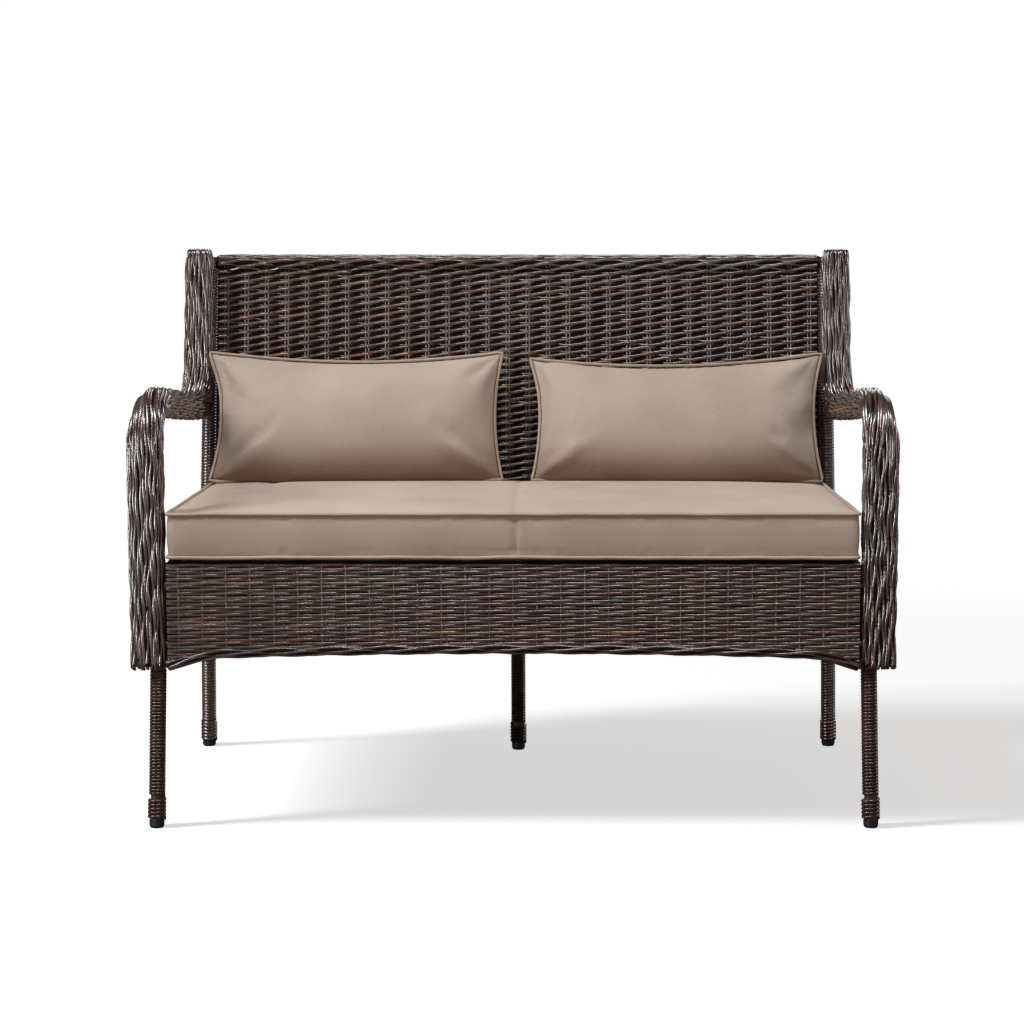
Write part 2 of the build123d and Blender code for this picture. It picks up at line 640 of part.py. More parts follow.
# Cord wound on the legs, the thicker bindings above the feet, and the rubber caps
wrap_start = cap_h + binding_h + layer_gap
for name, knee, foot in leg_frames():
    if name.startswith("front"):
        with BuildPart() as leg_wrap:
            low = on_leg(knee, foot, wrap_start)
            high = on_leg(knee, foot, post_bottom_z * 2)
            rod_between(low, high, wrap_r)
            rod_between(low, high, tube_r + rod_clear, Mode.SUBTRACT)
            split(bisect_by=Plane.XY.offset(post_bottom_z - layer_gap), keep=Keep.BOTTOM)
    elif name.startswith("rear"):
        side, sx = sides[0] if name.endswith("left") else sides[1]
        with BuildPart() as leg_wrap:
            low_z = on_leg(knee, foot, wrap_start).Z
            ring_along(rear_path(sx, low_z, back_rail_z + tube_r), wrap_r, tube_r + rod_clear)
            rod_across(back_top_y, back_rail_z, tube_r + rod_clear, rear_top_x, Mode.SUBTRACT)
            rod_across(back_lower_y, back_lower_z, tube_r + rod_clear, rear_top_x, Mode.SUBTRACT)
            bolt_holes(side, "rear")
            bolt_holes(side, "wing")
    else:
        with BuildPart() as leg_wrap:
            low = on_leg(knee, foot, wrap_start)
            rod_between(low, knee, wrap_r)
            rod_between(low, knee, tube_r + rod_clear, Mode.SUBTRACT)
            rod_across(knee_y, seat_rail_z, wrap_r + layer_gap, overall_width, Mode.SUBTRACT)
            rod_between((0, rail_y, cross_bar_z), (0, knee_y, cross_bar_z), bar_r + rod_clear, Mode.SUBTRACT)
    save(leg_wrap.part.solids().sort_by(SortBy.VOLUME)[-1], f"{name}_wrap")

    with BuildPart() as foot_binding:
        low = on_leg(knee, foot, cap_h)
        high = on_leg(knee, foot, cap_h + binding_h)
        rod_between(low, high, tube_r + binding_t)
        rod_between(low, high, tube_r + rod_clear, Mode.SUBTRACT)
    save(foot_binding.part, f"{name}_binding")

    with BuildPart() as foot_cap:
        up = (Vector(knee) - Vector(foot)).normalized()
        radial = up.cross(Vector(0, 1, 0)).normalized()
        plug_r = tube_r - tube_wall - cap_plug_clear
        with BuildSketch(Plane(origin=foot, x_dir=radial, z_dir=radial.cross(up))):
            with BuildLine():
                Line((0, cap_h + cap_plug_h), (0, -cap_below))
                Line((0, -cap_below), (cap_tip_r, -cap_below))
                RadiusArc((cap_tip_r, -cap_below), (cap_r, cap_h / 2), -cap_round_r)
                Polyline(
                    (cap_r, cap_h / 2),
                    (cap_r, cap_h - cap_plug_clear),
                    (plug_r, cap_h - cap_plug_clear),
                    (plug_r, cap_h + cap_plug_h),
                    (0, cap_h + cap_plug_h),
                )
            make_face()
        revolve(axis=Axis(foot, up))
        split(bisect_by=Plane.XY, keep=Keep.TOP)
    save(foot_cap.part, f"{name}_cap")

# Fasteners
with BuildPart() as frame_bolts:
    for side, group, head, direction, length in bolt_lines:
        rod_between(head, head + direction * length, bolt_r)
        rod_between(head, head - direction * bolt_head_h, bolt_head_r)
save(frame_bolts.part, "frame_bolts")

with BuildPart() as frame_washers:
    for side, group, head, direction, length in bolt_lines:
        rod_between(head, head + direction * washer_t, washer_r)
        rod_between(head, head + direction * washer_t, bolt_hole_r, Mode.SUBTRACT)
save(frame_washers.part, "frame_washers")

with BuildPart() as frame_spacers:
    for side, sx in sides:
        for z in front_bolt_heights:
            ends = ((sx * apron_half, leg_y, z), (sx * (post_in_x - rod_clear), leg_y, z))
            rod_between(*ends, spacer_r)
            rod_between(*ends, bolt_hole_r, Mode.SUBTRACT)
save(frame_spacers.part, "frame_spacers")

# Seat cushion: crowned top, slightly bowed boxing and piping along both seams
piping_band = piping_r * 2 + piping_clear
cushion_front_y = leg_y - front_reach + piping_band
cushion_rear_y = leg_y + cushion_setback - piping_band
cushion_side_x = cushion_half - piping_band
cushion_mid_y = (cushion_front_y + cushion_rear_y) / 2
cushion_crown = cushion_crown_z - cushion_top_seam_z
cushion_sag = cushion_low_seam_z - cushion_bottom_z
# Shares of the crown's height, and how far in from the edge each is reached, as shares of half the depth
crown_height_shares = (0, 0.45, 0.8, 1)
crown_inset_shares = (0, 0.1, 0.36, 0.72)


def cushion_plane(z, fall):
    """Level plane of the cushion that drops towards the back by a share of its full fall."""
    drop = cushion_fall * fall
    depth = cushion_rear_y - cushion_front_y
    return Plane(origin=(0, cushion_mid_y, z - drop / 2), x_dir=(1, 0, 0), z_dir=(0, drop, depth))


def cushion_layers(skin):
    """Height, share of the fall and inset of each level of the cushion, a cover's thickness in."""
    half_depth = (cushion_rear_y - cushion_front_y) / 2
    low = [
        (cushion_low_seam_z - cushion_sag * height + skin, 0, inset * half_depth / 2 + skin)
        for height, inset in zip(crown_height_shares[:0:-1], crown_inset_shares[:0:-1])
    ]
    middle_z = (cushion_low_seam_z + cushion_top_seam_z) / 2
    boxing = [
        (cushion_low_seam_z + skin, 0, skin),
        (middle_z, 1 / 2, skin - boxing_bow),
        (cushion_top_seam_z - skin, 1, skin),
    ]
    top = [
        (cushion_top_seam_z + cushion_crown * height - skin, 1, inset * half_depth + skin)
        for height, inset in zip(crown_height_shares[1:], crown_inset_shares[1:])
    ]
    return low + boxing + top


def cushion_solid(skin):
    """Adds the cushion's body, drawn in by a cover's thickness, to the part being built."""
    levels = []
    for z, fall, inset in cushion_layers(skin):
        with BuildSketch(cushion_plane(z, fall)) as level:
            RectangleRounded(
                (cushion_side_x - inset) * 2, cushion_rear_y - cushion_front_y - inset * 2, cushion_corner_r
            )
        levels.append(level.sketch)
    loft(levels, ruled=True)


with BuildPart() as foam:
    cushion_solid(cover_t)
save(foam.part, "seat_cushion_foam")

with BuildPart() as cover:
    cushion_solid(0)
    add(foam.part, mode=Mode.SUBTRACT)
save(cover.part, "seat_cushion_cover")

with BuildPart() as seat_piping:
    reach = piping_r + piping_clear
    for z, fall in ((cushion_low_seam_z, 0), (cushion_top_seam_z, 1)):
        with BuildSketch(cushion_plane(z, fall)) as seam:
            RectangleRounded(
                (cushion_side_x + reach) * 2, cushion_rear_y - cushion_front_y + reach * 2,
                cushion_corner_r + reach,
            )
        ring_along(seam.sketch.wire(), piping_r, 0)
save(seat_piping.part, "seat_cushion_piping")

# Lumbar pillows: knife edges with corners pulled out, fat in the middle
# Shares of the half thickness, of the half height drawn in, and of the sides' dip at each level
pillow_height_shares = (0, 0.18, 0.45, 0.7, 0.88, 1)
pillow_inset_shares = (0, 0.12, 0.28, 0.46, 0.63, 0.83)
pillow_dip_shares = (1, 0.55, 0.1, -0.3, -0.45, -0.35)


def pillow_outline(plane, half_w, half_h, side_dip, top_dip, cut):
    """Face on a plane with four arcs, and short straights that cut its corners."""
    short_w = half_w - cut
    short_h = half_h - cut
    with BuildSketch(plane) as outline:
        with BuildLine():
            ThreePointArc((-short_w, -half_h), (0, -half_h + top_dip), (short_w, -half_h))
            Line((short_w, -half_h), (half_w, -short_h))
            ThreePointArc((half_w, -short_h), (half_w - side_dip, 0), (half_w, short_h))
            Line((half_w, short_h), (short_w, half_h))
            ThreePointArc((short_w, half_h), (0, half_h - top_dip), (-short_w, half_h))
            Line((-short_w, half_h), (-half_w, short_h))
            ThreePointArc((-half_w, short_h), (-half_w + side_dip, 0), (-half_w, -short_h))
            Line((-half_w, -short_h), (-short_w, -half_h))
        make_face()
    return outline.sketch


def pillow_plane(x):
    """Middle plane of a leaning pillow, facing the front."""
    tilt = math.radians(pillow_tilt)
    return Plane(
        origin=(x, leg_y + pillow_setback, pillow_centre_z),
        x_dir=(1, 0, 0),
        z_dir=(0, -math.cos(tilt), math.sin(tilt)),
    )


def pillow_solid(plane, skin):
    """Adds a pillow's body, drawn in by a cover's thickness, to the part being built."""
    edge = pillow_piping_r * 2 + pillow_edge_gap
    half_h = pillow_half_h - edge - skin
    half_w = pillow_half - edge - skin
    thick = pillow_half_t - skin
    levels = list(zip(pillow_height_shares, pillow_inset_shares, pillow_dip_shares))
    outlines = []
    for sign, steps in ((-1, levels[:0:-1]), (1, levels)):
        for height, inset, dip in steps:
            draw = half_h * inset
            level_plane = plane.offset(sign * thick * height)
            sides_dip = (pillow_side_dip * dip, pillow_top_dip * dip)
            outlines.append(
                pillow_outline(level_plane, half_w - draw, half_h - draw, *sides_dip, pillow_corner_cut)
            )
    loft(outlines, ruled=True)


for side, sx in sides:
    plane = pillow_plane(sx * pillow_pitch / 2)
    with BuildPart() as fill:
        pillow_solid(plane, pillow_cover_t)
    save(fill.part, f"pillow_{side}_fill")

    with BuildPart() as pillow_cover:
        pillow_solid(plane, 0)
        add(fill.part, mode=Mode.SUBTRACT)
    save(pillow_cover.part, f"pillow_{side}_cover")

    with BuildPart() as pillow_piping:
        half_w = pillow_half - pillow_piping_r
        half_h = pillow_half_h - pillow_piping_r
        edge = pillow_outline(Plane.XY, half_w, half_h, pillow_side_dip, pillow_top_dip, pillow_piping_r)
        with BuildSketch(plane) as edge_face:
            add(edge)
            fillet(edge_face.vertices(), radius=pillow_piping_r)
        ring_along(edge_face.sketch.wire(), pillow_piping_r - piping_clear / 2, 0)
    save(pillow_piping.part, f"pillow_{side}_piping")

print("overall depth", round(overall_depth, 1))
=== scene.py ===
"""Wicker patio loveseat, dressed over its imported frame: woven strands, wound legs, cushion and pillows."""
import bisect
import json
import math
import random

import bmesh
import bpy
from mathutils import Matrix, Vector, noise
from mathutils.bvhtree import BVHTree


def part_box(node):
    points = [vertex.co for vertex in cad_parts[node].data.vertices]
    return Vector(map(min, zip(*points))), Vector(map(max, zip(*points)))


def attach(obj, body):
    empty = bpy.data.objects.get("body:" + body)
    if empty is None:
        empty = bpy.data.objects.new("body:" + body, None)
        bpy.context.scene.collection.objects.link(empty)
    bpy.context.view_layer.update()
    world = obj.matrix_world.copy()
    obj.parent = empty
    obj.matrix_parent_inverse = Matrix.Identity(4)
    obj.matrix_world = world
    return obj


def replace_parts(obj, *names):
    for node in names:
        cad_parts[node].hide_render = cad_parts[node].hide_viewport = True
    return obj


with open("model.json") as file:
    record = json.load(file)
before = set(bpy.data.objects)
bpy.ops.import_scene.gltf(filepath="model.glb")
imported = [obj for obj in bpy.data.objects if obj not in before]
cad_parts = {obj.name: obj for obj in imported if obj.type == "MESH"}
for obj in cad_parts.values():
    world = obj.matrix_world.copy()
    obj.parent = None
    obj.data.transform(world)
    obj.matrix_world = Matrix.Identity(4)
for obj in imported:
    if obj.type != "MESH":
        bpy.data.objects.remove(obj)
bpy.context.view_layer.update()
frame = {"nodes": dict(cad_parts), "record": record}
nodes = frame["nodes"]
scene = bpy.context.scene
random.seed(11)
MM = 0.001
SIDES = (("left", -1), ("right", 1))

# Places and sizes of the part, in millimetres
BACK_LEAN_RUN, BACK_LEAN_RISE = 76, 470.5
LEAN_TAN = BACK_LEAN_RUN / BACK_LEAN_RISE
LEAN = math.atan(LEAN_TAN)
SEAT_Z = 421
LEG_Y = -293.47
KNEE_SETBACK, REAR_FOOT_SETBACK, CENTRE_FOOT_SETBACK = 522, 591, 561
KNEE_Y = LEG_Y + KNEE_SETBACK
FRONT_RAIL_AHEAD = 4
RAIL_Y = LEG_Y - FRONT_RAIL_AHEAD
ARM_FRONT_Z = 692
ARM_FALL, ARM_RUN = 54, 480
ARM_SLOPE = ARM_FALL / ARM_RUN
WING_TOP_Z = 914
HALF_STRIP = 20
WRAP_R = 13.5
WING_GAP = 0.5
WING_OFFSET = (WRAP_R + HALF_STRIP + WING_GAP) / math.cos(LEAN)
# The elbow is where the arm's falling line meets the leaning line of the wing
WING_LINE_Y = KNEE_Y - WING_OFFSET
ARM_OVER_SEAT = ARM_FRONT_Z + ARM_SLOPE * LEG_Y - SEAT_Z
ELBOW_Y = (WING_LINE_Y + LEAN_TAN * ARM_OVER_SEAT) / (1 + LEAN_TAN * ARM_SLOPE)
ELBOW_Z = ARM_FRONT_Z - ARM_SLOPE * (ELBOW_Y - LEG_Y)
WING_Z = WING_TOP_Z - HALF_STRIP * math.sin(LEAN)
WING_Y = WING_LINE_Y + LEAN_TAN * (WING_Z - SEAT_Z)
POST_LOW_Z = 265
BACK_RAIL_Z = 891.5
BACK_LOWER_Z = 455
PANEL_HALF_T = 4.5
APRON_HALF = 552
ARCH_ROD_AHEAD, ARCH_ROD_R, ARCH_ROD_GAP = 8, 5, 0.2
APRON_MIDDLE_Y = LEG_Y - ARCH_ROD_AHEAD - ARCH_ROD_R - ARCH_ROD_GAP
APRON_FACE_Y = APRON_MIDDLE_Y - PANEL_HALF_T


def leaning_y(z):
    """Y of the back's middle plane at a height."""
    return KNEE_Y + LEAN_TAN * (z - SEAT_Z)


def placed(name, data):
    """New object in the scene."""
    made = bpy.data.objects.new(name, data)
    scene.collection.objects.link(made)
    return made


# Camera, at the photograph's viewing angle, in metres and degrees
CAMERA_X, CAMERA_Z, CAMERA_AWAY, CAMERA_DOWN = 0.060, 1.005, 3.803, 7.37
camera_data = bpy.data.cameras.new("camera")
camera_data.lens = 84.83
camera_data.sensor_width = 36
camera_data.shift_x = -0.0381
camera = placed("camera", camera_data)
camera.location = (CAMERA_X, LEG_Y * MM - CAMERA_AWAY, CAMERA_Z)
camera.rotation_euler = (math.radians(90 - CAMERA_DOWN), 0, 0)
scene.camera = camera


# Node tree helpers
def feed(tree, socket, value):
    """Links an input to a socket, or sets it to a value."""
    if isinstance(value, bpy.types.NodeSocket):
        tree.links.new(value, socket)
    else:
        socket.default_value = value


def add_node(tree, kind, settings=None, feeds=(), **sockets):
    """Adds a shader node and fills or links its inputs, in order or by name."""
    made = tree.nodes.new(kind)
    for key, value in (settings or {}).items():
        setattr(made, key, value)
    for socket, value in zip(made.inputs, feeds):
        feed(tree, socket, value)
    for label, value in sockets.items():
        feed(tree, made.inputs[label.replace("_", " ")], value)
    return made


def mixed(tree, share, first, second, blend="MIX"):
    """Colour that mixes two colours or sockets."""
    made = add_node(tree, "ShaderNodeMix", {"data_type": "RGBA", "blend_type": blend})
    for index, value in ((0, share), (6, first), (7, second)):
        feed(tree, made.inputs[index], value)
    return made.outputs[2]


def ramped(tree, value, low, high):
    """Value stretched so that low gives 0 and high gives 1."""
    made = add_node(tree, "ShaderNodeMapRange", Value=value, From_Min=low, From_Max=high)
    return made.outputs[0]


def noisy(tree, place, scale, detail, **sockets):
    """Value of a noise texture."""
    made = add_node(tree, "ShaderNodeTexNoise", Vector=place, Scale=scale, Detail=detail, **sockets)
    return made.outputs[0]


def calculated(tree, operation, first, second):
    """Result of a sum on two values or sockets."""
    return add_node(tree, "ShaderNodeMath", {"operation": operation}, (first, second)).outputs[0]


def new_group(name, **inputs):
    """Node group with inputs of its own and the outputs that every finish reads, and its input node."""
    tree = bpy.data.node_groups.new(name, "ShaderNodeTree")
    kinds = {"c": "NodeSocketColor", "f": "NodeSocketFloat"}
    outputs = {"Color": "c", "Roughness": "f", "Height": "f"}
    for way, sockets in (("INPUT", inputs), ("OUTPUT", outputs)):
        for label, kind in sockets.items():
            tree.interface.new_socket(label.replace("_", " "), in_out=way, socket_type=kinds[kind])
    return tree, tree.nodes.new("NodeGroupInput")


def colour(red, green, blue):
    """Linear colour from a screen colour of 0 to 255."""
    return tuple((c / 255) ** 2.2 for c in (red, green, blue)) + (1,)


# Streaked resin strand: patches of a second colour, fine mottling and a faint drawn grain
strand_tree, enters = new_group("streaked resin", Base="c", Streak="c", Patches="f")
place = add_node(strand_tree, "ShaderNodeTexCoord").outputs["Object"]
patches = noisy(strand_tree, place, 16.0, 3.0, Roughness=0.6)
mottle = noisy(strand_tree, place, 210.0, 2.0)
grain = noisy(strand_tree, place, 900.0, 2.0)
patch_mask = ramped(strand_tree, patches, 0.42, 0.62)
patch_share = calculated(strand_tree, "MULTIPLY", patch_mask, enters.outputs[2])
tinted = mixed(strand_tree, patch_share, enters.outputs[0], enters.outputs[1])
shade = ramped(strand_tree, mottle, 0.3, 0.7)
darker = mixed(strand_tree, 1.0, tinted, (0.62, 0.62, 0.62, 1), "MULTIPLY")
tone = mixed(strand_tree, shade, darker, tinted)
rough = add_node(strand_tree, "ShaderNodeMapRange", Value=mottle, To_Min=0.17, To_Max=0.3)
add_node(strand_tree, "NodeGroupOutput", feeds=(tone, rough.outputs[0], grain))

# Outdoor canvas: a plain weave of threads, slubs, slow changes of tone, and painted shade low on the pillows,
# where they turn under over the seat
# Heights in metres where the painted shade on the pillows begins and where it is full
PAINTED_SHADE_TOP, PAINTED_SHADE_FULL = 0.585, 0.52
cloth_tree, enters = new_group("outdoor canvas", Base="c", Thread="f", Low_Tone="f")
place = add_node(cloth_tree, "ShaderNodeTexCoord").outputs["Object"]
axes = add_node(cloth_tree, "ShaderNodeSeparateXYZ", Vector=place)
count = calculated(cloth_tree, "DIVIDE", math.tau, enters.outputs[1])
across = calculated(cloth_tree, "SINE", calculated(cloth_tree, "MULTIPLY", axes.outputs[0], count), 0)
upright = calculated(cloth_tree, "SUBTRACT", axes.outputs[1], axes.outputs[2])
along = calculated(cloth_tree, "SINE", calculated(cloth_tree, "MULTIPLY", upright, count), 0)
threads = calculated(cloth_tree, "MULTIPLY", across, along)
slubs = noisy(cloth_tree, place, 420.0, 2.0)
slow = noisy(cloth_tree, place, 7.0, 3.0)
dark = mixed(cloth_tree, 1.0, enters.outputs[0], (0.84, 0.83, 0.81, 1), "MULTIPLY")
toned = mixed(cloth_tree, ramped(cloth_tree, slow, 0.3, 0.7), dark, enters.outputs[0])
slubbed = mixed(cloth_tree, 1.0, toned, (0.9, 0.89, 0.88, 1), "MULTIPLY")
whole = mixed(cloth_tree, ramped(cloth_tree, slubs, 0.35, 0.65), slubbed, toned)
# Painted shade: the canvas darkens towards the bottom, standing in for the shade under the pillows' foot
painted_shade_mask = ramped(cloth_tree, axes.outputs[2], PAINTED_SHADE_TOP, PAINTED_SHADE_FULL)
painted_shade_share = calculated(cloth_tree, "MULTIPLY", painted_shade_mask, enters.outputs[2])
painted_shade_tone = mixed(cloth_tree, 1.0, whole, (0.54, 0.46, 0.41, 1), "MULTIPLY")
tone = mixed(cloth_tree, painted_shade_share, whole, painted_shade_tone)
rough = add_node(cloth_tree, "ShaderNodeMapRange", Value=slubs, To_Min=0.78, To_Max=0.92)
height = calculated(cloth_tree, "ADD", calculated(cloth_tree, "MULTIPLY", threads, 0.5), slubs)
add_node(cloth_tree, "NodeGroupOutput", feeds=(tone, rough.outputs[0], height))

# Plain coating: soft cloudy wear in colour and gloss
coat_tree, enters = new_group("worn coating", Base="c", Dust="c", Gloss="f")
place = add_node(coat_tree, "ShaderNodeTexCoord").outputs["Object"]
cloud = noisy(coat_tree, place, 35.0, 4.0)
speck = noisy(coat_tree, place, 700.0, 1.0)
share = calculated(coat_tree, "MULTIPLY", ramped(coat_tree, cloud, 0.5, 0.75), 0.5)
tone = mixed(coat_tree, share, enters.outputs[0], enters.outputs[1])
uneven = calculated(coat_tree, "MULTIPLY", cloud, 0.2)
rough = calculated(coat_tree, "ADD", enters.outputs[2], uneven)
add_node(coat_tree, "NodeGroupOutput", feeds=(tone, rough, speck))


def finish(name, tree, values, bump, thickness, **plain):
    """Material whose colour, roughness and bump come from one of the groups."""
    material = bpy.data.materials.new(name)
    material.use_nodes = True
    net = material.node_tree
    shader = net.nodes["Principled BSDF"]
    source = add_node(net, "ShaderNodeGroup", {"node_tree": tree})
    for label, value in values.items():
        source.inputs[label].default_value = value
    tone, rough, height = source.outputs
    relief = add_node(net, "ShaderNodeBump", Height=height, Strength=bump, Distance=thickness)
    plain |= {"Base Color": tone, "Roughness": rough, "Normal": relief.outputs[0]}
    for label, value in plain.items():
        feed(net, shader.inputs[label.replace("_", " ")], value)
    return material


def strand_finish(name, base, streak, patches=1.0, shine=1.0):
    """Streaked resin in two screen colours."""
    values = {"Base": colour(*base), "Streak": colour(*streak), "Patches": patches}
    return finish(name, strand_tree, values, 0.1, 0.0005, Specular_IOR_Level=shine, IOR=1.8)


WICKER = [
    strand_finish("strand brown", (84, 62, 58), (62, 46, 43)),
    strand_finish("strand umber", (64, 47, 44), (96, 66, 58)),
    strand_finish("strand grey", (104, 89, 85), (72, 58, 55)),
    strand_finish("strand russet", (102, 55, 49), (66, 47, 44)),
    strand_finish("strand moss", (52, 54, 50), (84, 70, 65)),
    strand_finish("strand amber", (132, 88, 60), (82, 63, 55)),
]
WICKER_SHARES = (31, 27, 19, 13, 7, 3)
WINDINGS = [
    strand_finish("winding", (98, 67, 61), (74, 51, 47), 1.0, 0.45),
    strand_finish("binding", (80, 55, 50), (98, 68, 61), 1.0, 0.45),
]
# Dark core under the strands: its near-black colour is painted shade, standing in for the shade in the gaps
# between strands
wicker_shadow_core = strand_finish("wicker shadow", (30, 24, 22), (38, 30, 28), 0.5, 0.05)


def canvas_finish(name, base, thread, painted_shade=0.0, bump=0.35):
    """Outdoor canvas in a screen colour, with painted shade darkening its foot by the given share."""
    values = {"Base": colour(*base), "Thread": thread, "Low Tone": painted_shade}
    return finish(name, cloth_tree, values, bump, 0.0005, Specular_IOR_Level=0.12)


def coated(name, base, dust, gloss, bump, thickness, **plain):
    """Coating in two screen colours."""
    values = {"Base": colour(*base), "Dust": colour(*dust), "Gloss": gloss}
    return finish(name, coat_tree, values, bump, thickness, **plain)


canvas = canvas_finish("taupe canvas", (207, 190, 177), 0.0016)
# The pillows' canvas carries the full painted shade over its foot
pillow_canvas = canvas_finish("taupe pillow canvas", (200, 183, 171), 0.0016, 1.0)
welt = canvas_finish("taupe welt", (196, 179, 162), 0.0012, 0.0, 0.4)
filling = {"Base": colour(232, 229, 220), "Thread": 0.003}
coatings = {
    "frame_steel": coated("powder coat", (58, 48, 43), (78, 68, 62), 0.35, 0.15, 0.0003),
    "wicker": wicker_shadow_core,
    "foot_rubber": coated("foot rubber", (24, 22, 21), (52, 48, 45), 0.5, 0.3, 0.0004),
    "fastener_steel": coated("zinc plate", (150, 150, 152), (120, 120, 118), 0.28, 0.1, 0.0002, Metallic=1.0),
    "cushion_core": finish("filling", cloth_tree, filling, 0.3, 0.001),
    "cushion_fabric": canvas,
    "piping_fabric": welt,
}
for row in frame["record"]["subparts"]:
    cad_node = nodes[row["node"]]
    if not cad_node.material_slots:
        cad_node.data.materials.append(None)
    for slot in cad_node.material_slots:
        slot.material = coatings[row["material_slot"]]


# Lines that strands and cords follow
def rounded_line(corners, radii, step):
    """Points a step apart on straight runs joined by tangent arcs."""
    corners = [Vector(c) for c in corners]
    line = [corners[0]]

    def run_to(target):
        start = line[-1].copy()
        steps = max(1, round((target - start).length / step))
        line.extend(start.lerp(target, i / steps) for i in range(1, steps + 1))

    for before, corner, after, radius in zip(corners, corners[1:], corners[2:], radii):
        enter, leave = (before - corner).normalized(), (after - corner).normalized()
        half = enter.angle(leave) / 2
        reach = radius / math.tan(half)
        centre = corner + (enter + leave).normalized() * radius / math.sin(half)
        run_to(corner + enter * reach)
        first, last = line[-1] - centre, corner + leave * reach - centre
        steps = max(3, round((math.pi - half * 2) * radius / step))
        line.extend(centre + first.slerp(last, i / steps) * radius for i in range(1, steps + 1))
    run_to(corners[-1])
    return line


class Track:
    """A line that gives its place and direction at a distance from its start."""

    def __init__(self, points):
        self.points = [Vector(p) for p in points]
        self.marks = [0]
        for first, second in zip(self.points, self.points[1:]):
            self.marks.append(self.marks[-1] + (second - first).length)
        self.length = self.marks[-1]

    def place(self, distance):
        index = min(max(bisect.bisect_right(self.marks, distance), 1), len(self.marks) - 1)
        low, high = self.marks[index - 1], self.marks[index]
        return self.points[index - 1].lerp(self.points[index], (distance - low) / (high - low))

    def direction(self, distance):
        return (self.place(distance + 2) - self.place(distance - 2)).normalized()

    def at_height(self, z):
        """Distance at which the line reaches a height, for a line that only rises."""
        heights = [p.z for p in self.points]
        index = min(max(bisect.bisect_right(heights, z), 1), len(heights) - 1)
        share = (z - heights[index - 1]) / (heights[index] - heights[index - 1])
        return self.marks[index - 1] + share * (self.marks[index] - self.marks[index - 1])


# Cross-sections of the strands, one unit from the middle to the edge where they are widest
def section_curve(name, across, up, corners):
    """Closed outline that a strand is swept from; up stays upright along level strands."""
    outline = bpy.data.curves.new(name, "CURVE")
    outline.dimensions = "2D"
    spline = outline.splines.new("POLY")
    spline.points.add(corners - 1)
    for i, point in enumerate(spline.points):
        turn = math.tau * (i + 0.5) / corners
        point.co = (math.cos(turn) * across, math.sin(turn) * up, 0, 1)
    spline.use_cyclic_u = True
    return placed(name, outline)


ROUND = section_curve("round section", 1, 1, 6)
OVAL = section_curve("oval section", 0.62, 1, 6)
CORD = section_curve("cord section", 0.8, 1, 8)
FLAT = section_curve("flat section", 1, 0.45, 6)
FULL_ROUND = section_curve("smooth round section", 1, 1, 12)


def pick_tone():
    return random.choices(range(len(WICKER)), WICKER_SHARES)[0]


def strand_piece(name, strands, section, materials=None, body="frame", closed=False):
    """One piece of many strands: each is its points in millimetres, its radius and its material."""
    bundle = bpy.data.curves.new(name, "CURVE")
    bundle.dimensions = "3D"
    bundle.bevel_mode = "OBJECT"
    bundle.bevel_object = section
    bundle.twist_mode = "Z_UP"
    bundle.use_fill_caps = not closed
    for material in materials or WICKER:
        bundle.materials.append(material)
    for points, radius, tone in strands:
        spline = bundle.splines.new("POLY")
        spline.points.add(len(points) - 1)
        flat = []
        for point in points:
            flat.extend((point[0] * MM, point[1] * MM, point[2] * MM, 1))
        spline.points.foreach_set("co", flat)
        spline.points.foreach_set("radius", [radius * MM] * len(points))
        spline.use_cyclic_u = closed
        spline.use_smooth = True
        spline.material_index = tone
    holder = placed(name, bundle)
    bpy.context.view_layer.update()
    mesh = bpy.data.meshes.new_from_object(holder.evaluated_get(bpy.context.evaluated_depsgraph_get()))
    bpy.data.objects.remove(holder)
    mesh.name = name
    made = placed(name, mesh)
    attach(made, body)
    return made


SEED_SPACING = 7.31


def wavering(seed, distance, reach=120):
    """Slow random value of about -1 to 1 along a strand."""
    return noise.noise(Vector((distance / reach, seed * SEED_SPACING, 0.5))) * 2


def stepped(low, high, steps):
    """Values from low to high in equal steps."""
    return [low + (high - low) * i / steps for i in range(steps + 1)]


def eased(value):
    """0 to 1 with soft ends."""
    value = min(1, max(0, value))
    return value * value * (3 - 2 * value)


def bump_at(value, centre, width):
    """1 at the centre, falling smoothly to 0 a few widths away."""
    return math.exp(-((value - centre) / width) ** 2)


# Arm loops: long strands laid side by side round the strip, each weaving between its neighbours
def oblong_place(share, half_w, half_t, corner):
    """Place and outward direction on a rounded oblong, a share of the way round from its front's middle."""
    flat_w, flat_t, arc = half_w - corner, half_t - corner, corner * math.pi / 2
    quarter = flat_w + arc + flat_t
    turn = share % 1 * 4
    index = int(turn)
    way = (turn - index) * quarter
    if index % 2:
        way = quarter - way
    if way < flat_w:
        spot = (way, half_t, 0, 1)
    elif way < flat_w + arc:
        angle = (way - flat_w) / corner
        sine, cosine = math.sin(angle), math.cos(angle)
        spot = (flat_w + corner * sine, flat_t + corner * cosine, sine, cosine)
    else:
        spot = (half_w, quarter - way, 1, 0)
    flip_x, flip_t = ((1, 1), (1, -1), (-1, -1), (-1, 1))[index]
    return spot[0] * flip_x, spot[1] * flip_t, spot[2] * flip_x, spot[3] * flip_t


CROWN_BEND_R, ELBOW_BEND_R = 70, 50
loop_corners = [
    (0, LEG_Y, POST_LOW_Z), (0, LEG_Y, ARM_FRONT_Z), (0, ELBOW_Y, ELBOW_Z), (0, WING_Y, WING_Z),
]
loop_track = Track(rounded_line(loop_corners, (CROWN_BEND_R, ELBOW_BEND_R), 5))
# Distances along the track at which the bends have their middles
CROWN_AT, ELBOW_AT = 415, 880
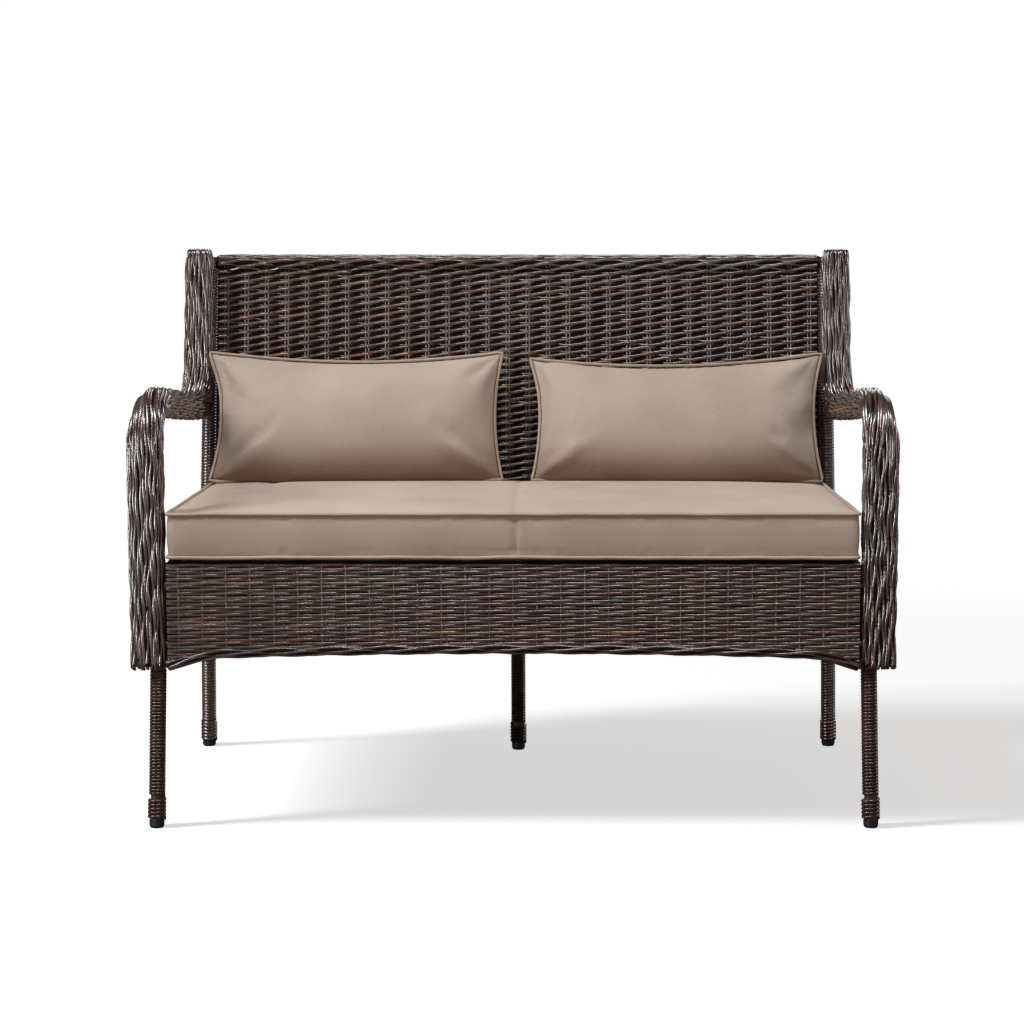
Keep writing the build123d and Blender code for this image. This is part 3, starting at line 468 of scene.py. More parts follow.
# The strip leans inwards and narrows on its way to the wing's rounded top
LOOP_OUTER_X, LOOP_INNER_X, OUTER_TAPER, INNER_TAPER = 610, 556, 14, 7
STRIP_CORNER, TOP_LENGTH, TOP_NARROWING = 14, 22, 3.2
# Its outer side swells just past the elbow
SWELL, SWELL_AT, SWELL_WIDTH = 7, ELBOW_AT + 25, 38
# Its outer edge is drawn in as it rounds the crown
SHOULDER_IN, SHOULDER_LOW_Z, SHOULDER_HIGH_Z = 20, 612, 706
SHOULDER_END_AT, SHOULDER_FADE = 470, 110
# Its strands bob over and under each other, more on the arm, and drift round the strip at both bends
LOOP_STRANDS, LOOP_STRAND_R, LOOP_WAVE = 30, 2.75, 72
LOOP_DEPTH, LOOP_BOB, ARM_EXTRA_BOB = 1.4, 1.2, 1.6
CROWN_DRIFT, ELBOW_DRIFT = 3.2, 4.7
LOOP_CORE_RISE = -0.7


def shoulder(distance, z):
    """How far the arm's outer edge is drawn in at a distance and height."""
    climb = min(1, max(0, (z - SHOULDER_LOW_Z) / (SHOULDER_HIGH_Z - SHOULDER_LOW_Z)))
    return SHOULDER_IN * climb ** 2 * (1 - eased((distance - SHOULDER_END_AT) / SHOULDER_FADE))


def loop_place(sx, distance, share, rise):
    """Point over the arm strip: share of the way round it, and millimetres above its surface."""
    centre = loop_track.place(distance)
    along = loop_track.direction(distance)
    outward = Vector((1, 0, 0)).cross(along)
    run = (centre.y - LEG_Y) / (WING_Y - LEG_Y)
    outer_x, inner_x = LOOP_OUTER_X - OUTER_TAPER * run, LOOP_INNER_X - INNER_TAPER * run
    top = max(0, 1 - (loop_track.length - distance) / TOP_LENGTH)
    half_w = (outer_x - inner_x) / 2 - TOP_NARROWING * top ** 2
    u, v, un, vn = oblong_place(share, half_w, HALF_STRIP, STRIP_CORNER)
    middle_x = (outer_x + inner_x) / 2
    side = Vector((sx, 0, 0))
    rise_out = rise + SWELL * max(0, un) * bump_at(distance, SWELL_AT, SWELL_WIDTH)
    spot = centre + side * (middle_x + u + un * rise_out) + outward * (v + vn * rise)
    return spot - side * shoulder(distance, spot.z) * max(0, u) / half_w


def loop_core(name, sx, steps=180, around=32):
    """Filling just under the strands of an arm loop; its dark colour is painted shade for the gaps between the
    strands.
    """
    rings = []
    for i in range(steps + 1):
        distance = 1 + (loop_track.length - 1.5) * i / steps
        rings.append([loop_place(sx, distance, k / around, LOOP_CORE_RISE) * MM for k in range(around)])
    quads = []
    for i in range(steps):
        low, high = i * around, (i + 1) * around
        for k in range(around):
            after = (k + 1) % around
            quads.append((low + k, low + after, high + after, high + k))
    ends = [tuple(range(around)), tuple(range(steps * around, (steps + 1) * around))]
    mesh = bpy.data.meshes.new(name)
    mesh.from_pydata([spot for ring in rings for spot in ring], [], quads + ends)
    shape = bmesh.new()
    shape.from_mesh(mesh)
    bmesh.ops.recalc_face_normals(shape, faces=shape.faces)
    shape.to_mesh(mesh)
    shape.free()
    mesh.materials.append(wicker_shadow_core)
    core = placed(name, mesh)
    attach(core, "frame")


def loop_strand(sx, k):
    """Points, radius and tone of one strand of an arm loop, with both its ends turned in."""
    tone = pick_tone()
    start, end = random.uniform(-1, 2), loop_track.length + 0.5
    phase = math.pi * k + random.uniform(-0.8, 0.8)
    wave = LOOP_WAVE * random.uniform(0.85, 1.15)
    points = []
    for distance in stepped(start, end, round((end - start) / 7)):
        swing = math.tau * distance / wave + phase + wavering(k + 50, distance) * 1.1
        crown_drift = CROWN_DRIFT * eased((distance - CROWN_AT + 90) / 180)
        elbow_drift = ELBOW_DRIFT * eased((distance - ELBOW_AT + 75) / 170)
        on_arm = eased((distance - CROWN_AT - 30) / 60) * eased((ELBOW_AT - 20 - distance) / 60)
        rise = (LOOP_BOB + ARM_EXTRA_BOB * on_arm) * math.cos(swing) - LOOP_DEPTH
        flare = 1.2 * max(0, 1 - (distance - start) / 16)
        sway = 0.22 * math.sin(swing) + 0.3 * wavering(k, distance, 60) + crown_drift - elbow_drift
        points.append(loop_place(sx, distance, (k + sway) / LOOP_STRANDS, rise + flare))
    first, foot_centre = points[0], loop_place(sx, start, 0, -HALF_STRIP)
    points.insert(0, first.lerp(Vector((first.x, foot_centre.y, foot_centre.z)), 0.3) - Vector((0, 0, 3)))
    last, cap_centre = points[-1], loop_place(sx, end, 0, -HALF_STRIP)
    crest = Vector((last.x, cap_centre.y, cap_centre.z))
    along = loop_track.direction(end)
    points.append(last.lerp(crest, 0.35) + along * 2.2)
    points.append(last.lerp(crest, 0.95) + along * 3.4)
    return points, LOOP_STRAND_R * random.uniform(0.94, 1.06), tone


for side, sx in SIDES:
    strands = [loop_strand(sx, k) for k in range(LOOP_STRANDS)]
    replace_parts(strand_piece(f"arm_strands_{side}", strands, ROUND), f"arm_weave_{side}")
    loop_core(f"arm_core_{side}", sx)


# Flat woven panels: rows that pass over and under pairs of stakes
LONGEST_RUN, CUT_LENGTHS = 650, (260, 600)
GREY_TONE = 2


def woven_rows(place, heights, span, pitch, radius, swing, tilt, lift, step=6.2, face=0):
    """Strands for level rows; place(a, height, rise) gives a point, span(height) the runs of a row."""
    strands = []
    for row, height in enumerate(heights):
        for low, high in span(height):
            cuts = [low]
            while high - cuts[-1] > LONGEST_RUN:
                cuts.append(cuts[-1] + random.uniform(*CUT_LENGTHS))
            cuts.append(high)
            for first, last in zip(cuts, cuts[1:]):
                tone = pick_tone()
                size = radius * random.uniform(0.93, 1.04)
                steps = max(2, round((last - first) / step))
                points = []
                for a in stepped(first, last, steps):
                    turn = math.pi * (a / pitch + row + face)
                    bob = wavering(row * 3 + face * 91, a, 60)
                    level = height + tilt * math.sin(turn) + 0.5 * bob
                    points.append(place(a, level, lift + swing * math.cos(turn) + 0.3 * bob))
                strands.append((points, size, tone))
    return strands


def stakes(place, positions, low, high, gap, radius, rise, step=14, tone=None):
    """Upright strands at each position: pairs a gap apart, or single ones where the gap is 0."""
    strands = []
    for position in positions:
        for shift in (-gap / 2, gap / 2) if gap else (0,):
            bottom, top = low(position), high(position)
            steps = max(2, round((top - bottom) / step))
            points = []
            for i in range(steps + 1):
                across = position + shift + 0.3 * wavering(position, bottom + i)
                points.append(place(across, bottom + (top - bottom) * i / steps, rise))
            strands.append((points, radius, pick_tone() if tone is None else tone))
    return strands


def even_heights(low, high, pitch):
    """Heights from low to high, about a pitch apart."""
    return stepped(low, high, max(2, round((high - low) / pitch)))


# Back: both faces of the panel and the rolls round its two rails
back_out = Vector((0, -math.cos(LEAN), math.sin(LEAN)))
back_up = Vector((0, math.sin(LEAN), math.cos(LEAN)))


def back_depth(z):
    """Half the back's thickness at a height: the panel, or the roll round a rail."""
    near = min(abs(z - BACK_RAIL_Z), abs(z - BACK_LOWER_Z)) / math.cos(LEAN)
    return max(PANEL_HALF_T, math.sqrt(max(0, WRAP_R ** 2 - near ** 2)))


def back_face(facing):
    """Place function for the back's front face, or its rear face for a facing of -1."""
    def place(a, z, rise):
        middle = Vector((a, leaning_y(z), z))
        return middle + back_out * facing * (back_depth(z) + rise)
    return place


BACK_HALF = 541.5
STAKE_PITCH = 36.4
BACK_ROW_PITCH = 6.5
stake_places = [STAKE_PITCH * (i + 0.5) for i in range(-15, 15)]
for label, facing in (("front", 1), ("rear", -1)):
    heights = even_heights(BACK_LOWER_Z - 8, BACK_RAIL_Z + 8, BACK_ROW_PITCH)
    rows = woven_rows(
        back_face(facing), heights, lambda z: [(-BACK_HALF, BACK_HALF)], STAKE_PITCH,
        radius=2.95, swing=1.9, tilt=2.0, lift=-0.1, face=facing > 0,
    )
    strand_piece(f"back_rows_{label}", rows, OVAL)
    pairs = stakes(
        back_face(facing), stake_places, lambda a: BACK_LOWER_Z - 6, lambda a: BACK_RAIL_Z - 6,
        gap=5.6, radius=1.3, rise=0.0, step=9, tone=GREY_TONE,
    )
    strand_piece(f"back_stakes_{label}", pairs, ROUND)

# Cords laid over the top and bottom rolls, each weaving between its neighbours
EDGE_STEPS = 180
ROLL_CORD_R, ROLL_WAVE, ROLL_SINK, ROLL_BOB = 2.7, 16, 1.2, 0.8
TOP_ROLL_ANGLES, LOW_ROLL_ANGLES = (-52, -30, -10, 10, 30, 52), (128, 152, 180, 208, 232)


def roll_cords(place, half, angles, sway, wave, reach, bob, radius):
    """Cords along a roll at some angles round it; place(a, turn, reach) gives a point."""
    cords = []
    for row, degrees in enumerate(angles):
        points = []
        for a in stepped(-half, half, EDGE_STEPS):
            lay = a / wave + row * math.pi
            turn = math.radians(degrees + sway * math.sin(lay))
            points.append(place(a, turn, reach + bob * math.cos(lay)))
        cords.append((points, radius, pick_tone()))
    return cords


edge_strands = []
for rail_z, angles in ((BACK_RAIL_Z, TOP_ROLL_ANGLES), (BACK_LOWER_Z, LOW_ROLL_ANGLES)):
    def round_rail(a, turn, reach, middle=Vector((0, leaning_y(rail_z), rail_z))):
        around = middle + (back_up * math.cos(turn) - back_out * math.sin(turn)) * reach
        return a, around.y, around.z

    reach = WRAP_R - ROLL_SINK
    edge_strands += roll_cords(round_rail, BACK_HALF, angles, 4, ROLL_WAVE, reach, ROLL_BOB, ROLL_CORD_R)
strand_piece("back_edge_strands", edge_strands, ROUND)


# Aprons: fine level rows over single stakes, and cords along the arched edge
ARCH_TOP_Z, ARCH_KNEE_X, ARCH_KNEE_Z, ARCH_END_Z = 296, 453, 289, 267
ARCH_FALL = ARCH_TOP_Z - ARCH_KNEE_Z
ARCH_CREST_R = (ARCH_KNEE_X ** 2 + ARCH_FALL ** 2) / (2 * ARCH_FALL)
ARCH_END_RUN = APRON_HALF - ARCH_KNEE_X
APRON_LOW_Z, SIDE_APRON_LOW_Z, APRON_TOP_Z, REAR_FACE_TOP_Z = 270, 289, 430, 404
APRON_ROW_PITCH, APRON_STAKE_PITCH = 5.7, 38
APRON_WEAVE = {"radius": 2.75, "swing": 0.8, "tilt": 0.55, "step": 6.4}
ROW_OVER_EDGE, SHORTEST_ROW = 3, 12


def arch_z(x):
    """Lower edge of the front apron: a shallow arc, then a steeper curve down to each end."""
    x = abs(x)
    if x < ARCH_KNEE_X:
        return ARCH_TOP_Z - ARCH_CREST_R + math.sqrt(ARCH_CREST_R ** 2 - x ** 2)
    slope = -ARCH_KNEE_X / ARCH_CREST_R
    run = x - ARCH_KNEE_X
    end_drop = ARCH_END_Z - ARCH_KNEE_Z - slope * ARCH_END_RUN
    return ARCH_KNEE_Z + slope * run + end_drop * (run / ARCH_END_RUN) ** 2


def arch_x(z):
    """How far from the middle the apron's edge falls below a height."""
    low, high = 0, APRON_HALF
    for _ in range(24):
        middle = (low + high) / 2
        low, high = (middle, high) if arch_z(middle) > z else (low, middle)
    return low


def apron_front(a, z, rise):
    """Point on the front apron's outer face, which rounds over the roll on the seat rail."""
    roll = math.sqrt(max(0, WRAP_R ** 2 - (z - SEAT_Z) ** 2))
    return Vector((a, min(APRON_FACE_Y, RAIL_Y - roll) - rise, z))


def apron_rear(a, z, rise):
    """Point on the front apron's inner face."""
    return Vector((a, APRON_FACE_Y + 2 * PANEL_HALF_T + rise, z))


def apron_span(z):
    """Runs of a row: one above the arch, and two beside it."""
    edge = arch_x(z - ROW_OVER_EDGE) if z - ROW_OVER_EDGE < ARCH_TOP_Z else 0
    end = APRON_HALF - 1
    if not edge:
        return [(-end, end)]
    return [(-end, -edge), (edge, end)] if edge < APRON_HALF - SHORTEST_ROW else []


apron_stakes = [APRON_STAKE_PITCH * i for i in range(-14, 15)]
for label, place, top in (("front", apron_front, APRON_TOP_Z), ("rear", apron_rear, REAR_FACE_TOP_Z)):
    heights = even_heights(APRON_LOW_Z, top, APRON_ROW_PITCH)
    rows = woven_rows(
        place, heights, apron_span, APRON_STAKE_PITCH, lift=0.2, face=label == "rear", **APRON_WEAVE,
    )
    strand_piece(f"apron_rows_{label}", rows, OVAL)
singles = stakes(
    apron_front, apron_stakes, lambda a: arch_z(a) + 2, lambda a: APRON_TOP_Z, gap=0, radius=1.3, rise=0.5,
)
strand_piece("apron_stakes", singles, ROUND)

# Cords round the rod in the arched edge
EDGE_ANGLES = range(-90, 230, 40)
EDGE_CORD_R, EDGE_ROLL_R, EDGE_SINK, EDGE_WAVE, EDGE_BOB = 2.5, 8.5, 1.4, 14, 0.8


def round_arch(a, turn, reach):
    """Point round the rod, square to the arch's slope."""
    slope = math.atan((arch_z(a + 1) - arch_z(a - 1)) / 2)
    up = math.sin(turn) * reach
    y = APRON_MIDDLE_Y - math.cos(turn) * reach
    return a - up * math.sin(slope), y, arch_z(a) + up * math.cos(slope)


reach = EDGE_ROLL_R - EDGE_SINK
edge_strands = roll_cords(round_arch, APRON_HALF - 1.5, EDGE_ANGLES, 12, EDGE_WAVE, reach, EDGE_BOB, EDGE_CORD_R)
strand_piece("apron_edge_strands", edge_strands, ROUND)

# Side and rear aprons
rear_leg_slope = (REAR_FOOT_SETBACK - KNEE_SETBACK) / SEAT_Z
SIDE_FRONT_Y, REAR_LEG_CLEAR = LEG_Y + 9.5, 16


def side_place(sx):
    """Place function for a side apron's outer face."""
    return lambda a, z, rise: Vector((sx * (APRON_HALF + rise), a, z))


def side_span(z):
    return [(SIDE_FRONT_Y, KNEE_Y + rear_leg_slope * (SEAT_Z - z) - REAR_LEG_CLEAR)]


side_heights = even_heights(SIDE_APRON_LOW_Z, APRON_TOP_Z, APRON_ROW_PITCH)
for side, sx in SIDES:
    rows = woven_rows(side_place(sx), side_heights, side_span, APRON_STAKE_PITCH, lift=0.1, **APRON_WEAVE)
    strand_piece(f"side_apron_rows_{side}", rows, OVAL)

rear_low, rear_high = (Vector(c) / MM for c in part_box("rear_apron"))
rows = woven_rows(
    lambda a, z, rise: Vector((a, rear_high.y + rise, z)),
    even_heights(rear_low.z + 3, rear_high.z - 3, APRON_ROW_PITCH),
    lambda z: [(rear_low.x + 1, rear_high.x - 1)], APRON_STAKE_PITCH, lift=-0.4, **APRON_WEAVE,
)
strand_piece("rear_apron_rows", rows, OVAL)

# Deck under the cushion: flat rows over pairs of stakes, up to the rolls round the seat rails
DECK_MIDDLE_Z, DECK_HALF, DECK_OVER_RAIL = 433.8, 530, 11.5
DECK_STAKE_PITCH, DECK_ROW_PITCH = 38, 8
DECK_FRONT_Y, DECK_REAR_Y = RAIL_Y + DECK_OVER_RAIL, KNEE_Y - DECK_OVER_RAIL


def deck_place(a, y, rise):
    return Vector((a, y, DECK_MIDDLE_Z + rise))


rows = woven_rows(
    deck_place, even_heights(DECK_FRONT_Y, DECK_REAR_Y, DECK_ROW_PITCH), lambda y: [(-DECK_HALF, DECK_HALF)],
    DECK_STAKE_PITCH, radius=4.2, swing=0.9, tilt=0.5, lift=0, step=10,
)
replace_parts(strand_piece("seat_deck_rows", rows, FLAT), "seat_deck")
deck_stakes = [DECK_STAKE_PITCH * i for i in range(-13, 14)]
pairs = stakes(
    deck_place, deck_stakes, lambda a: DECK_FRONT_Y, lambda a: DECK_REAR_Y,
    gap=5, radius=1.2, rise=0.9, step=30,
)
strand_piece("seat_deck_stakes", pairs, ROUND)


# Legs and back posts: cord wound round and round, with a thicker winding above each foot
WINDING_STEPS = 18
# Each winding's kind, radius of its turns, radius of its cord, pitch and tone
LEG_CORDS = (("wrap", 11.5, 2.6, 5.5, 0), ("binding", 12.7, 3.1, 6.4, 1))
FRONT_FOOT_X, FRONT_POST_X = 577, 569
REAR_FOOT_X, REAR_KNEE_X, REAR_RAIL_X, REAR_TOP_X = 575, 561, 556, 555.5
KNEE_BEND_R, RAIL_BEND_R = 120, 1


def winding(track, low_z, high_z, core_r, cord, pitch):
    """One helical cord round a track, from height to height."""
    start, end = track.at_height(low_z) + cord, track.at_height(high_z) - cord
    steps = int((end - start) / pitch * WINDING_STEPS)
    points = []
    for distance in stepped(start, end, steps):
        along = track.direction(distance)
        first = (Vector((1, 0, 0)) - along * along.x).normalized()
        second = along.cross(first)
        turn = math.tau * (distance - start) / pitch
        points.append(track.place(distance) + (first * math.cos(turn) + second * math.sin(turn)) * core_r)
    return points


leg_tracks = {"centre_leg": [(0, LEG_Y + CENTRE_FOOT_SETBACK, 0), (0, KNEE_Y, SEAT_Z)]}
for side, sx in SIDES:
    leg_tracks[f"front_leg_{side}"] = [(sx * FRONT_FOOT_X, LEG_Y, 0), (sx * FRONT_POST_X, LEG_Y, POST_LOW_Z)]
    rear_corners = [
        (sx * REAR_FOOT_X, LEG_Y + REAR_FOOT_SETBACK, 0),
        (sx * REAR_KNEE_X, KNEE_Y, SEAT_Z),
        (sx * REAR_RAIL_X, leaning_y(BACK_RAIL_Z), BACK_RAIL_Z),
        (sx * REAR_TOP_X, leaning_y(WING_TOP_Z), WING_TOP_Z),
    ]
    leg_tracks[f"rear_leg_{side}"] = rounded_line(rear_corners, (KNEE_BEND_R, RAIL_BEND_R), 5)
dull_cords = []
for name, line in leg_tracks.items():
    track = Track(line)
    dull = not name.startswith("rear")
    for kind, core_r, cord, pitch, tone in LEG_CORDS:
        low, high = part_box(f"{name}_{kind}")
        points = winding(track, low[2] / MM, high[2] / MM, core_r, cord, pitch)
        finishes = WINDINGS if dull else WICKER
        made = strand_piece(f"{name}_{kind}_cord", [(points, cord, tone)], CORD, finishes)
        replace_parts(made, f"{name}_{kind}")
        if dull:
            dull_cords.append(made)


# Soft pieces
def baked(piece):
    """Mesh of a piece with its modifiers applied."""
    graph = bpy.context.evaluated_depsgraph_get()
    return bpy.data.meshes.new_from_object(piece.evaluated_get(graph), depsgraph=graph)


def search_tree(mesh):
    """Search tree over a mesh, in millimetres."""
    return BVHTree.FromPolygons([v.co / MM for v in mesh.vertices], [p.vertices for p in mesh.polygons])


def shell(counts, place, knife=False):
    """Points, quads and seam marks of a fabric block of cells; a knife-edged one has no side faces."""
    nx, ny, nz = counts
    keys, quads = {}, []

    def at(i, j, k):
        if knife and (i in (0, nx) or j in (0, ny)):
            k = 0
        return keys.setdefault((i, j, k), len(keys))

    def patch(first, second, corner, flip):
        for a in range(first):
            for b in range(second):
                around = ((a, b), (a + 1, b), (a + 1, b + 1), (a, b + 1))
                quad = [at(*corner(*spot)) for spot in around]
                quads.append(quad[::-1] if flip else quad)

    for k, flip in ((0, True), (nz, False)):
        patch(nx, ny, lambda a, b: (a, b, k), flip)
    if not knife:
        for j, flip in ((0, False), (ny, True)):
            patch(nx, nz, lambda a, b: (a, j, b), flip)
        for i, flip in ((0, True), (nx, False)):
            patch(ny, nz, lambda a, b: (i, a, b), flip)
    points = [place(i / nx * 2 - 1, j / ny * 2 - 1, k / nz) for i, j, k in keys]
    seam = [(i in (0, nx) or j in (0, ny)) and k in (0, nz) for i, j, k in keys]
    return points, quads, seam


CLOTH_FRAMES = 20
CLOTH = {
    "quality": 4, "mass": 0.25, "tension_stiffness": 12, "compression_stiffness": 12, "bending_stiffness": 0.4,
    "use_pressure": True, "uniform_pressure_force": 4, "vertex_group_mass": "held",
}


def puffed(name, block, cap, limit, cloth_finish):
    """Fabric form blown up by cloth simulation and held along its seams."""
    points, quads, seam = block
    mesh = bpy.data.meshes.new(name)
    mesh.from_pydata([p * MM for p in points], [], quads)
    piece = placed(name, mesh)
    grip = piece.vertex_groups.new(name="held")
    grip.add([index for index, sewn in enumerate(seam) if sewn], 1, "REPLACE")
    cloth = piece.modifiers.new("cloth", "CLOTH")
    for key, value in CLOTH.items():
        setattr(cloth.settings, key, value)
    cloth.settings.effector_weights.gravity = 0
    cloth.point_cache.frame_start = 1
    cloth.point_cache.frame_end = CLOTH_FRAMES
    for step in range(1, CLOTH_FRAMES + 1):
        scene.frame_set(step)
    moved = [v.co.copy() for v in baked(piece).vertices]
    piece.modifiers.clear()
    scene.frame_set(1)
    for vertex, end in zip(piece.data.vertices, moved):
        shift = end - vertex.co
        if shift.length > cap * MM:
            shift.length = cap * MM
        vertex.co += shift
    shape = bmesh.new()
    shape.from_mesh(piece.data)
    free = [v for v, sewn in zip(shape.verts, seam) if not sewn]
    for _ in range(2):
        bmesh.ops.smooth_vert(
            shape, verts=free, factor=0.5, use_axis_x=True, use_axis_y=True, use_axis_z=True,
        )
    shape.to_mesh(piece.data)
    shape.free()
    finer = piece.modifiers.new("finer", "SUBSURF")
    finer.levels = finer.render_levels = 1
    piece.data = baked(piece)
    piece.modifiers.clear()
    piece.vertex_groups.clear()
    normals = [v.normal.copy() for v in piece.data.vertices]
    for vertex, normal in zip(piece.data.vertices, normals):
        vertex.co = limit(vertex.co / MM, normal) * MM
    for polygon in piece.data.polygons:
        polygon.use_smooth = True
    piece.data.materials.clear()
    piece.data.materials.append(cloth_finish)
    return piece


CUSHION_HALF = 543
CUSHION_AHEAD, CUSHION_SETBACK, SEAM_INSET = 26, 492, 5
CUSHION_FRONT_Y = LEG_Y - CUSHION_AHEAD + SEAM_INSET
CUSHION_REAR_Y = LEG_Y + CUSHION_SETBACK - SEAM_INSET
CUSHION_LOW_Z, CUSHION_TOP_Z, CUSHION_FALL = 442.8, 512, 9
CUSHION_CORNER = 8
CUSHION_REST_Z = 437.2
FRONT_SPREAD = 5.5 / CUSHION_HALF
# The seam across the middle, and the crease at the left that runs inwards to the rear
MIDDLE_SEAM_X, SEAM_DEPTH, PULL_DEPTH = 3.5, 3.2, 1.0
CREASE_X, CREASE_DRIFT, CREASE_RUN, CREASE_DEPTH, CREASE_WIDTH = -530, 113, 480, 3, 17
PIPING_REACH, SEAT_PIPING_R, PILLOW_PIPING_R = 0.5, 3.0, 2.6
foam = search_tree(nodes["seat_cushion_foam"].data)


def seam_z(y, top):
    """Height of the cushion's lower or upper piping at a depth."""
    run = (y - CUSHION_FRONT_Y) / (CUSHION_REAR_Y - CUSHION_FRONT_Y)
    return CUSHION_TOP_Z - CUSHION_FALL * run if top else CUSHION_LOW_Z


def spread(x, y):
    """X moved out a little towards the front, where the cushion fills the space between the posts."""
    return x * (1 + FRONT_SPREAD * (CUSHION_REAR_Y - y) / (CUSHION_REAR_Y - CUSHION_FRONT_Y))


def cushion_place(a, b, c):
    """Point of the box cushion for -1 to 1 across and along it and 0 to 1 up it, with round corners."""
    half_y = (CUSHION_REAR_Y - CUSHION_FRONT_Y) / 2
    x, y = abs(a) * CUSHION_HALF, abs(b) * half_y
    inset = min(CUSHION_HALF - x, half_y - y)
    over_x, over_y = x - CUSHION_HALF + CUSHION_CORNER, y - half_y + CUSHION_CORNER
    if over_x > 0 and over_y > 0:
        first, second = over_x / CUSHION_CORNER, over_y / CUSHION_CORNER
        x = CUSHION_HALF - CUSHION_CORNER + over_x * math.sqrt(1 - second ** 2 / 2)
        y = half_y - CUSHION_CORNER + over_y * math.sqrt(1 - first ** 2 / 2)
    x, y = math.copysign(x, a), CUSHION_FRONT_Y + half_y + math.copysign(y, b)
    low, high = seam_z(y, False), seam_z(y, True)
    if inset == 0:
        bulge = 1 + 0.004 * math.sin(math.pi * c)
        out = y + (y - CUSHION_FRONT_Y - half_y) * (bulge - 1) * 2
        return Vector((spread(x, y) * bulge, out, low + (high - low) * c))
    hit = foam.ray_cast(Vector((x, y, (low + high) / 2)), Vector((0, 0, 1 if c else -1)))[0]
    seam = high if c else low
    return Vector((spread(x, y), y, seam + ((hit.z if hit else seam) - seam) * eased(inset / 30)))


def cushion_limit(p, normal):
    """Seams, puckers, the crease at the left, and the place where the cushion rests on the deck."""
    p = p.copy()
    top_z = seam_z(p.y, True)
    rim = max(abs(p.x) - CUSHION_HALF, CUSHION_FRONT_Y - p.y, p.y - CUSHION_REAR_Y)
    ripple = noise.noise(Vector((p.x / 12, p.y / 12, 3.7)))
    ripple += 0.5 * noise.noise(Vector((p.x / 6, p.y / 6, 9.1)))
    if abs(normal.z) < 0.6:
        near = bump_at(p.z, top_z - 9, 6) + bump_at(p.z, CUSHION_LOW_Z + 8, 6)
        p -= normal * near * (0.5 + 1.1 * ripple)
    elif normal.z > 0:
        p -= normal * bump_at(rim, -9, 8) * (0.5 + 1.1 * ripple)
        crease_x = CREASE_X + CREASE_DRIFT * (p.y - CUSHION_FRONT_Y) / CREASE_RUN
        p -= normal * CREASE_DEPTH * bump_at(p.x, crease_x, CREASE_WIDTH) * eased(-rim / 25)
    if normal.z > -0.3:
        seam_x = MIDDLE_SEAM_X + 1.2 * noise.noise(Vector((0, p.y / 40, 2.2)))
        groove = bump_at(p.x, seam_x, 4)
        pull = bump_at(p.x, seam_x, 26) * (0.8 + noise.noise(Vector((p.x / 60, (p.y + p.z) / 9, 5.5))))
        p -= normal * (SEAM_DEPTH * groove + PULL_DEPTH * pull)
    p.z = max(p.z, CUSHION_REST_Z)
    return p


cushion = puffed("seat_cushion_body", shell((122, 54, 8), cushion_place), 6, cushion_limit, canvas)
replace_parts(cushion, "seat_cushion_cover", "seat_cushion_foam")
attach(cushion, "seat_cushion")


def piping(name, rings, radius, body, node):
    """Closed piping cords that take a node's place."""
    strands = [(points, radius, 0) for points in rings]
    made = strand_piece(name, strands, FULL_ROUND, [welt], body, closed=True)
    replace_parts(made, node)
    return made


x, y0, y1 = CUSHION_HALF + PIPING_REACH, CUSHION_FRONT_Y - PIPING_REACH, CUSHION_REAR_Y + PIPING_REACH
middle = Vector((0, y0, 0))
corners = [middle, (x, y0, 0), (x, y1, 0), (-x, y1, 0), (-x, y0, 0), middle]
line = rounded_line(corners, (CUSHION_CORNER + PIPING_REACH,) * 4, 6)[:-1]
rings = []
for top in (False, True):
    ring = []
    for p in line:
        height = seam_z(p.y, top) + 0.5 * wavering(3 + top, p.x + p.y * 1.7, 55)
        ring.append(Vector((spread(p.x, p.y), p.y, height)))
    rings.append(ring)
seat_welt = piping("seat_cushion_welt", rings, SEAT_PIPING_R, "seat_cushion", "seat_cushion_piping")

TILT = math.radians(18)
PILLOW_X, PILLOW_SETBACK, PILLOW_Z = 283.5, 475.7, 623.3
PILLOW_HALF, PILLOW_HALF_H = 256, 116
# The side and top edges curve in between the corners, and the belly sags over the seat
SIDE_DIP, TOP_DIP = 14, 18
BELLY_FALL = 48
# The right pillow has slumped towards its left-hand corner
SLUMP = {"left": 0, "right": 7}
# Corners that the stuffing pushes further out: side, right-hand corner, upper corner
EARS = {
    ("left", False, True): 9, ("left", False, False): 3, ("right", True, True): 3, ("right", False, True): 3,
}
pillow_up = Vector((0, math.sin(TILT), math.cos(TILT)))
pillow_out = Vector((0, -math.cos(TILT), math.sin(TILT)))
seat = search_tree(cushion.data)


def above_seat(p, gap):
    """The point, lifted to rest a gap over the seat cushion where it would lie lower."""
    under = seat.ray_cast(Vector((p.x, p.y, 700)), Vector((0, 0, -1)))[0]
    return Vector((p.x, p.y, max(p.z, under.z + gap))) if under else p


